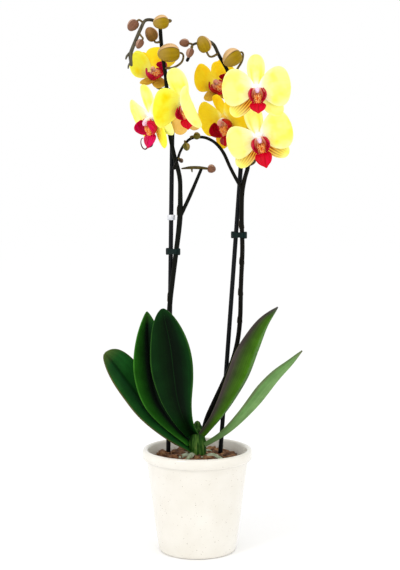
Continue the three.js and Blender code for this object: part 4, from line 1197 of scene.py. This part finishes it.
# %% Glaze
def glaze_material():
    """Glass over cream clay: a clear gloss, pools of a slightly warmer tone, and few iron specks."""
    made, tree, shader = material(
        "stoneware, cream glaze", Roughness=0.22, IOR=1.5, Coat_Weight=0.3, Coat_Roughness=0.08
    )
    place = solid(tree)
    pool = add(tree, "TexNoise", {"Vector": place, "Scale": 1 / (30 * MM), "Detail": 3.0})
    specks = add(tree, "TexNoise", {"Vector": place, "Scale": 1 / (1.5 * MM), "Detail": 1.0})
    body = add(tree, "ValToRGB", {"Fac": pool}, [(0.3, "#E8E3D8"), (0.7, "#EFEBE2")])
    iron = add(tree, "ValToRGB", {"Fac": specks}, [(0.74, BLACK), (0.78, WHITE)])
    base = add(tree, "MixRGB", {"Fac": iron, "Color1": body, "Color2": "#8A7A62"})
    dress(tree, shader, base, pool, 0.08, 0.4)
    return made


GLAZE = glaze_material()

# %% Bark, root, crown, stake, clip and band materials
def rough_material(name, stops, grain, relief, rise=1.0, **sockets):
    """Colour and relief from one noise, with a grain in mm, which a low rise draws out upwards."""
    made, tree, shader = material(name, **sockets)
    coarse = fibres(tree, solid(tree), (1, 1, rise), 6.0, 1 / (grain * MM))
    dress(tree, shader, add(tree, "ValToRGB", {"Fac": coarse}, stops), coarse, 0.6, relief)
    return made


BARK = rough_material(
    "pine bark, dry", [(0.3, "#2C1A10"), (0.5, "#6A4428"), (0.7, "#A47A50")], 7, 1.2, Roughness=0.95
)
ROOT = rough_material(
    "orchid root, silver green velamen", [(0.3, "#6E7C58"), (0.5, "#9AA488"), (0.7, "#C2C6B2")], 5, 0.4,
    Roughness=0.8,
)
CROWN_SKIN = rough_material(
    "leaf sheath, green", [(0.3, "#0E240A"), (0.48, "#20460E"), (0.62, "#4A6C2A"), (0.7, "#7A8048")],
    3.5, 0.3, 0.12, Roughness=0.55, Specular_IOR_Level=0.08,
)
STAKE = rough_material(
    "lacquered bamboo, black", [(0.3, "#020406"), (0.6, "#05080C"), (0.8, "#0C1218")], 2.5, 0.15,
    Roughness=0.4, Specular_IOR_Level=0.15,
)
CLIP = rough_material(
    "moulded polypropylene, dark green", [(0.3, "#051412"), (0.7, "#0A2220")], 3, 0.05,
    Roughness=0.4, IOR=1.49, Specular_IOR_Level=0.12,
)
BAND = rough_material(
    "clear PVC band, clouded", [(0.3, "#C4C6CC"), (0.7, "#F2F3F6")], 3, 0.1,
    Roughness=0.18, IOR=1.53,
)
print(len(bpy.data.materials), "materials")

# %% [markdown]
# ## The pot
# A round pot is one profile turned about its axis, so a vertical outline is enough: a flat foot, a
# slightly flared wall, a rolled rim and the inside. Four drainage holes are cut through the floor.

# %% The glazed pot
POT = dict(height=118, mouth=60, foot=45, wall=3, floor=5, rim=12, rim_out=3)
DRAIN = dict(count=4, ring=24, radius=4)


def inner_radius(height):
    return mix(POT["foot"], POT["mouth"], height / POT["height"]) - POT["wall"]


def make_pot():
    top, rim = POT["height"], POT["rim"]
    low, side = top - rim, POT["foot"]
    under = mix(side, POT["mouth"], low / top)
    brim = POT["mouth"] + POT["rim_out"]
    lip = POT["mouth"] - POT["wall"]
    outline = [
        (0, 2.2), (32, 2.2), (34, 0), (side - 3, 0), (side - 0.8, 0.8), (side, 3),
        (mix(side, under, 0.3), 0.3 * low), (mix(side, under, 0.65), 0.65 * low),
        (under - 0.3, low - 3), (under + 0.3, low - 0.6), (brim - 1.4, low + 0.2),
        (brim, low + 2), (brim, top - 3), (brim - 0.8, top - 0.8), (brim - 3, top),
        (lip + 2.4, top), (lip + 0.6, top - 0.8),
        (inner_radius(top) - 0.1, top - 3), (inner_radius(60), 60), (inner_radius(10), 10),
        (inner_radius(6) - 2, 5.4), (inner_radius(6) - 6, POT["floor"]), (0, POT["floor"]),
    ]
    shape = new_mesh()

    def point(t, angle):
        radius, height = outline[round(t * (len(outline) - 1))]
        return Vector((radius * math.cos(angle), radius * math.sin(angle), height))

    roll(shape, 96, len(outline) - 1, point)
    return finish_piece("glazed_pot", shape, [GLAZE], ["pot"], level=0)


pot = make_pot()

# %% Its drainage holes
def drill(pot):
    """Cuts the holes by a boolean, and keeps the cut mesh as the pot's own."""
    drills = bmesh.new()
    radius = DRAIN["radius"] * MM
    for i in range(DRAIN["count"]):
        angle = (i + 0.5) * 2 * math.pi / DRAIN["count"]
        centre = Vector((math.cos(angle), math.sin(angle), 0)) * DRAIN["ring"] * MM
        bmesh.ops.create_cone(
            drills, cap_ends=True, segments=24, radius1=radius, radius2=radius, depth=20 * MM,
            matrix=Matrix.Translation(centre),
        )
    tool = put_mesh("drills", drills)
    holes = pot.modifiers.new("holes", "BOOLEAN")
    holes.operation, holes.object, holes.solver = "DIFFERENCE", tool, "EXACT"
    seen = pot.evaluated_get(bpy.context.evaluated_depsgraph_get())
    cut = bpy.data.meshes.new_from_object(seen)
    pot.modifiers.remove(holes)
    pot.data = cut
    bpy.data.objects.remove(tool)


drill(pot)
print("pot faces with its holes:", len(pot.data.polygons))

# %% [markdown]
# ## Bark
# The fill is a dome of loose chips. A chip starts as a cube whose edges are each cut twice, and
# every corner is then moved a little by noise, which makes a rough splinter of it. A sunflower
# spiral spreads the chips evenly, and seeded random numbers keep each run the same.

# %% The bark chips
BARK_TOP = 103
CHIPS = 190
GOLDEN_ANGLE = 2.39996  # radians, from one seed of a sunflower to the next


def make_bark():
    random.seed(11)
    noise.seed_set(11)  # without a seed, the noise vectors below would follow the clock
    shape = new_mesh()
    bed = 0.995 * inner_radius(BARK_TOP)
    outline = [
        (0, 5.4), (inner_radius(6) - 7, 5.4), (inner_radius(12) - 1, 12), (bed - 0.5, 98),
        (bed - 3, BARK_TOP - 1), (bed / 2, BARK_TOP + 1), (0, BARK_TOP + 2),
    ]

    def filling(t, angle):
        radius, height = outline[round(t * (len(outline) - 1))]
        return Vector((radius * math.cos(angle), radius * math.sin(angle), height))

    roll(shape, 48, len(outline) - 1, filling)
    for i in range(CHIPS):
        distance = (bed - 9) * math.sqrt((i + 0.5) / CHIPS)
        angle = GOLDEN_ANGLE * i
        height = BARK_TOP + 5 * (1 - distance / bed) + random.uniform(-1.5, 2.5)
        size = Vector((random.uniform(8, 17), random.uniform(6, 11), random.uniform(3, 6)))
        place = Matrix.Translation((distance * math.cos(angle), distance * math.sin(angle), height))
        turn = Matrix.Rotation(random.uniform(0, 2 * math.pi), 4, "Z")
        turn = turn @ Matrix.Rotation(random.uniform(-0.5, 0.5), 4, "X")
        turn = turn @ Matrix.Rotation(random.uniform(-0.4, 0.4), 4, "Y")
        before = len(shape.verts)
        made = bmesh.ops.create_cube(shape, size=1, matrix=place @ turn @ Matrix.Diagonal((*size, 1)))
        edges = list({edge for vertex in made["verts"] for edge in vertex.link_edges})
        bmesh.ops.subdivide_edges(shape, edges=edges, cuts=2, use_grid_fill=True)
        shape.verts.ensure_lookup_table()
        for vertex in shape.verts[before:]:
            shift = noise.noise_vector(vertex.co * 0.17 + Vector((i, 0, 0)))
            vertex.co += Vector((shift.x, shift.y, 0.7 * shift.z)) * 1.6
            reach = math.hypot(vertex.co.x, vertex.co.y)
            limit = inner_radius(vertex.co.z) - 0.6
            if reach > limit:
                vertex.co.x, vertex.co.y = vertex.co.x * limit / reach, vertex.co.y * limit / reach
    bark = finish_piece("bark_chips", shape, [BARK], ["bark_mix"], level=0)
    bark.data.shade_flat()  # broken wood has edges


make_bark()

# %% [markdown]
# ## Crown and roots
# The plant's own stem is short. Old leaf sheaths wrap it, and thick roots leave it, arch over the
# bark and dive in.

# %% The crown with its roots
CROWN = [(0, 0, 100, 8), (0, 0, 109, 10.6), (0, 0, 124, 10.4), (0, 0, 138, 8), (0, 0, 146, 4)]
ROOTS = [(52, 34), (96, 26), (138, 36), (206, 30), (248, 40), (292, 32), (338, 37)]  # degrees and reach
ROOT_RADIUS = 2.9


def make_crown():
    shape = new_mesh()
    tube(shape, CROWN, around=28, step=2, slot=1, bumps=0.1)
    for i, (degrees, reach) in enumerate(ROOTS):
        c, s = math.cos(math.radians(degrees)), math.sin(math.radians(degrees))
        shoulder = 111 + 3 * math.sin(i * 2.1)
        route = [
            (4 * c, 4 * s, 104, ROOT_RADIUS), (0.45 * reach * c, 0.45 * reach * s, shoulder, ROOT_RADIUS),
            (0.85 * reach * c, 0.85 * reach * s, 105, ROOT_RADIUS), (reach * c, reach * s, 90, 2.2),
        ]
        tube(shape, route, around=12, step=2.5, slot=0, bumps=0.14)
    finish_piece("crown_with_roots", shape, [ROOT, CROWN_SKIN], ["crown_and_roots"])


make_crown()

# %% [markdown]
# ## Stakes, clips and the band
# The stakes are thin rods with a rounded top. Each clip is a flat loop round stake and stem, pinched
# between them, with a ribbed finger tab at each end. The clear band is a short sleeve on the stake.

# %% The two stakes
STAKES = {"left": ((-35.5, 18, 12), (-28.3, 5, 500)), "right": ((20, 13, 12), (52.5, 8, 484))}
STAKE_RADIUS = 2.6


def along(stake, height):
    """The stake's middle at a height."""
    foot, head = Vector(stake[0]), Vector(stake[1])
    return foot.lerp(head, (height - foot.z) / (head.z - foot.z))


for side, (foot, head) in STAKES.items():
    shape = new_mesh()
    tube(shape, [(*foot, STAKE_RADIUS), (*head, STAKE_RADIUS)], around=24, step=8)
    finish_piece(f"rod_{side}", shape, [STAKE], [f"stake_{side}"], level=0)

# %% The two clips
STRAP = dict(thick=1.3, half=3.0, room=1.4)  # room is from the stake's gap to the strap's outside


def flat(share, squareness):
    """The cosine or the sine of a round section, pressed flat at its sides."""
    return max(min(squareness * share, 1), -1)


def make_clip(side, stem, height):
    held = along(STAKES[side], height)
    run = Vector((stem[0] - held.x, stem[1] - held.y, 0))
    span, reach = run.length, STAKE_RADIUS + GAP + STRAP["room"]
    place = Matrix.Translation(held) @ Matrix.Rotation(math.atan2(run.y, run.x), 4, "Z")
    shape = new_mesh()

    def point(t, angle):
        """A loop of flat strap: round the stake, across, round the stem and back."""
        around = 2 * math.pi * t
        centre = span if math.cos(around) > 0 else 0
        pinch = 1 - 0.16 * math.sin(around) ** 6
        outward = Vector((math.cos(around), math.sin(around) * pinch, 0))
        radius = mix(reach - STRAP["thick"], reach, 0.5 + 0.5 * flat(math.cos(angle), 1.35))
        return Vector((centre, 0, 0)) + outward * radius + UP * STRAP["half"] * flat(math.sin(angle), 1.25)

    roll(shape, 16, 64, point, join=1e-3)
    for end in (-reach, span + reach):
        out = 1 if end > 0 else -1
        for rib in range(3):
            block = Matrix.Translation((end + out * (0.4 + 0.55 * rib), 0, 0)) @ Matrix.Diagonal(
                (0.8 - 0.12 * rib, 4.4 - 0.5 * rib, 8 - 0.8 * rib, 1)
            )
            made = bmesh.ops.create_cube(shape, size=1, matrix=block)
            edges = list({edge for vertex in made["verts"] for edge in vertex.link_edges})
            bmesh.ops.bevel(
                shape, geom=edges, offset=0.2, segments=2, profile=0.5, affect="EDGES", material=-1
            )
    finish_piece(f"strap_{side}", shape, [CLIP], [f"clip_{side}"], level=0, place=place)


make_clip("left", (-25.2, 5), 345)
make_clip("right", (51, 3.6), 364)

# %% The clear band
def make_band(height):
    centre = along(STAKES["left"], height)
    shape = new_mesh()

    def point(t, angle):
        around = 2 * math.pi * t
        radius = 3.8 + 0.8 * flat(math.cos(angle), 1.4)
        half = 3.0 * flat(math.sin(angle), 1.3)
        return centre + Vector((radius * math.cos(around), radius * math.sin(around), half))

    roll(shape, 16, 40, point, join=1e-3)
    finish_piece("clear_sleeve", shape, [BAND], ["stake_band"], level=0)


make_band(384)

# %% [markdown]
# ## Floor, light and camera
# The plant stands on a plain white floor in soft studio light: a white surround, one large lamp high
# on the left and a weaker one on the right. The camera stands 1.3 m away and a little lower than the
# blooms, as in the photograph.

# %% Floor
def make_floor():
    shape = new_mesh()
    bmesh.ops.create_grid(shape, x_segments=1, y_segments=1, size=9.0)
    floor = put_mesh("floor", shape)
    made, _, _ = material(
        "matt white floor", Base_Color=colour("#FFFFFF"), Roughness=1.0, Specular_IOR_Level=0.0
    )
    floor.data.materials.append(made)


make_floor()

# %% Light
world = bpy.data.worlds.new("white studio")
world.use_nodes = True
surround = world.node_tree.nodes["Background"].inputs
surround["Color"].default_value = colour("#FFFFFF")
surround["Strength"].default_value = 1.0
bpy.context.scene.world = world


def lamp(name, place, target, size, power):
    light = bpy.data.lights.new(name, "AREA")
    light.shape, light.size, light.energy = "DISK", size, power
    shown = put(name, light)
    shown.location = place
    shown.rotation_euler = (Vector(target) - Vector(place)).to_track_quat("-Z", "Y").to_euler()


lamp("key", (-1.1, -1.3, 1.5), (0, 0, 0.45), 0.7, 8)
lamp("fill", (1.4, -1.0, 0.8), (0, 0, 0.4), 1.0, 3)

view = bpy.context.scene.view_settings
view.view_transform = "Standard"
view.look = "None"

# %% Camera
SENSOR = 36.0  # mm, along the long side of the picture, which stands upright
DISTANCE = 1.3
EYE = (0.003, -DISTANCE, 0.405)
VIEW_HEIGHT = 0.650  # how much of the plant's plane the picture takes in
VIEW_CENTRE = 0.307

eye = bpy.data.cameras.new("eye")
eye.sensor_fit, eye.sensor_width = "AUTO", SENSOR
eye.lens = SENSOR * DISTANCE / VIEW_HEIGHT
camera = put("eye", eye)
camera.location = EYE
camera.rotation_euler = (math.pi / 2 - math.atan((EYE[2] - VIEW_CENTRE) / DISTANCE), 0, 0)
bpy.context.scene.camera = camera
print("the picture is", VIEW_HEIGHT, "m high at the plant")
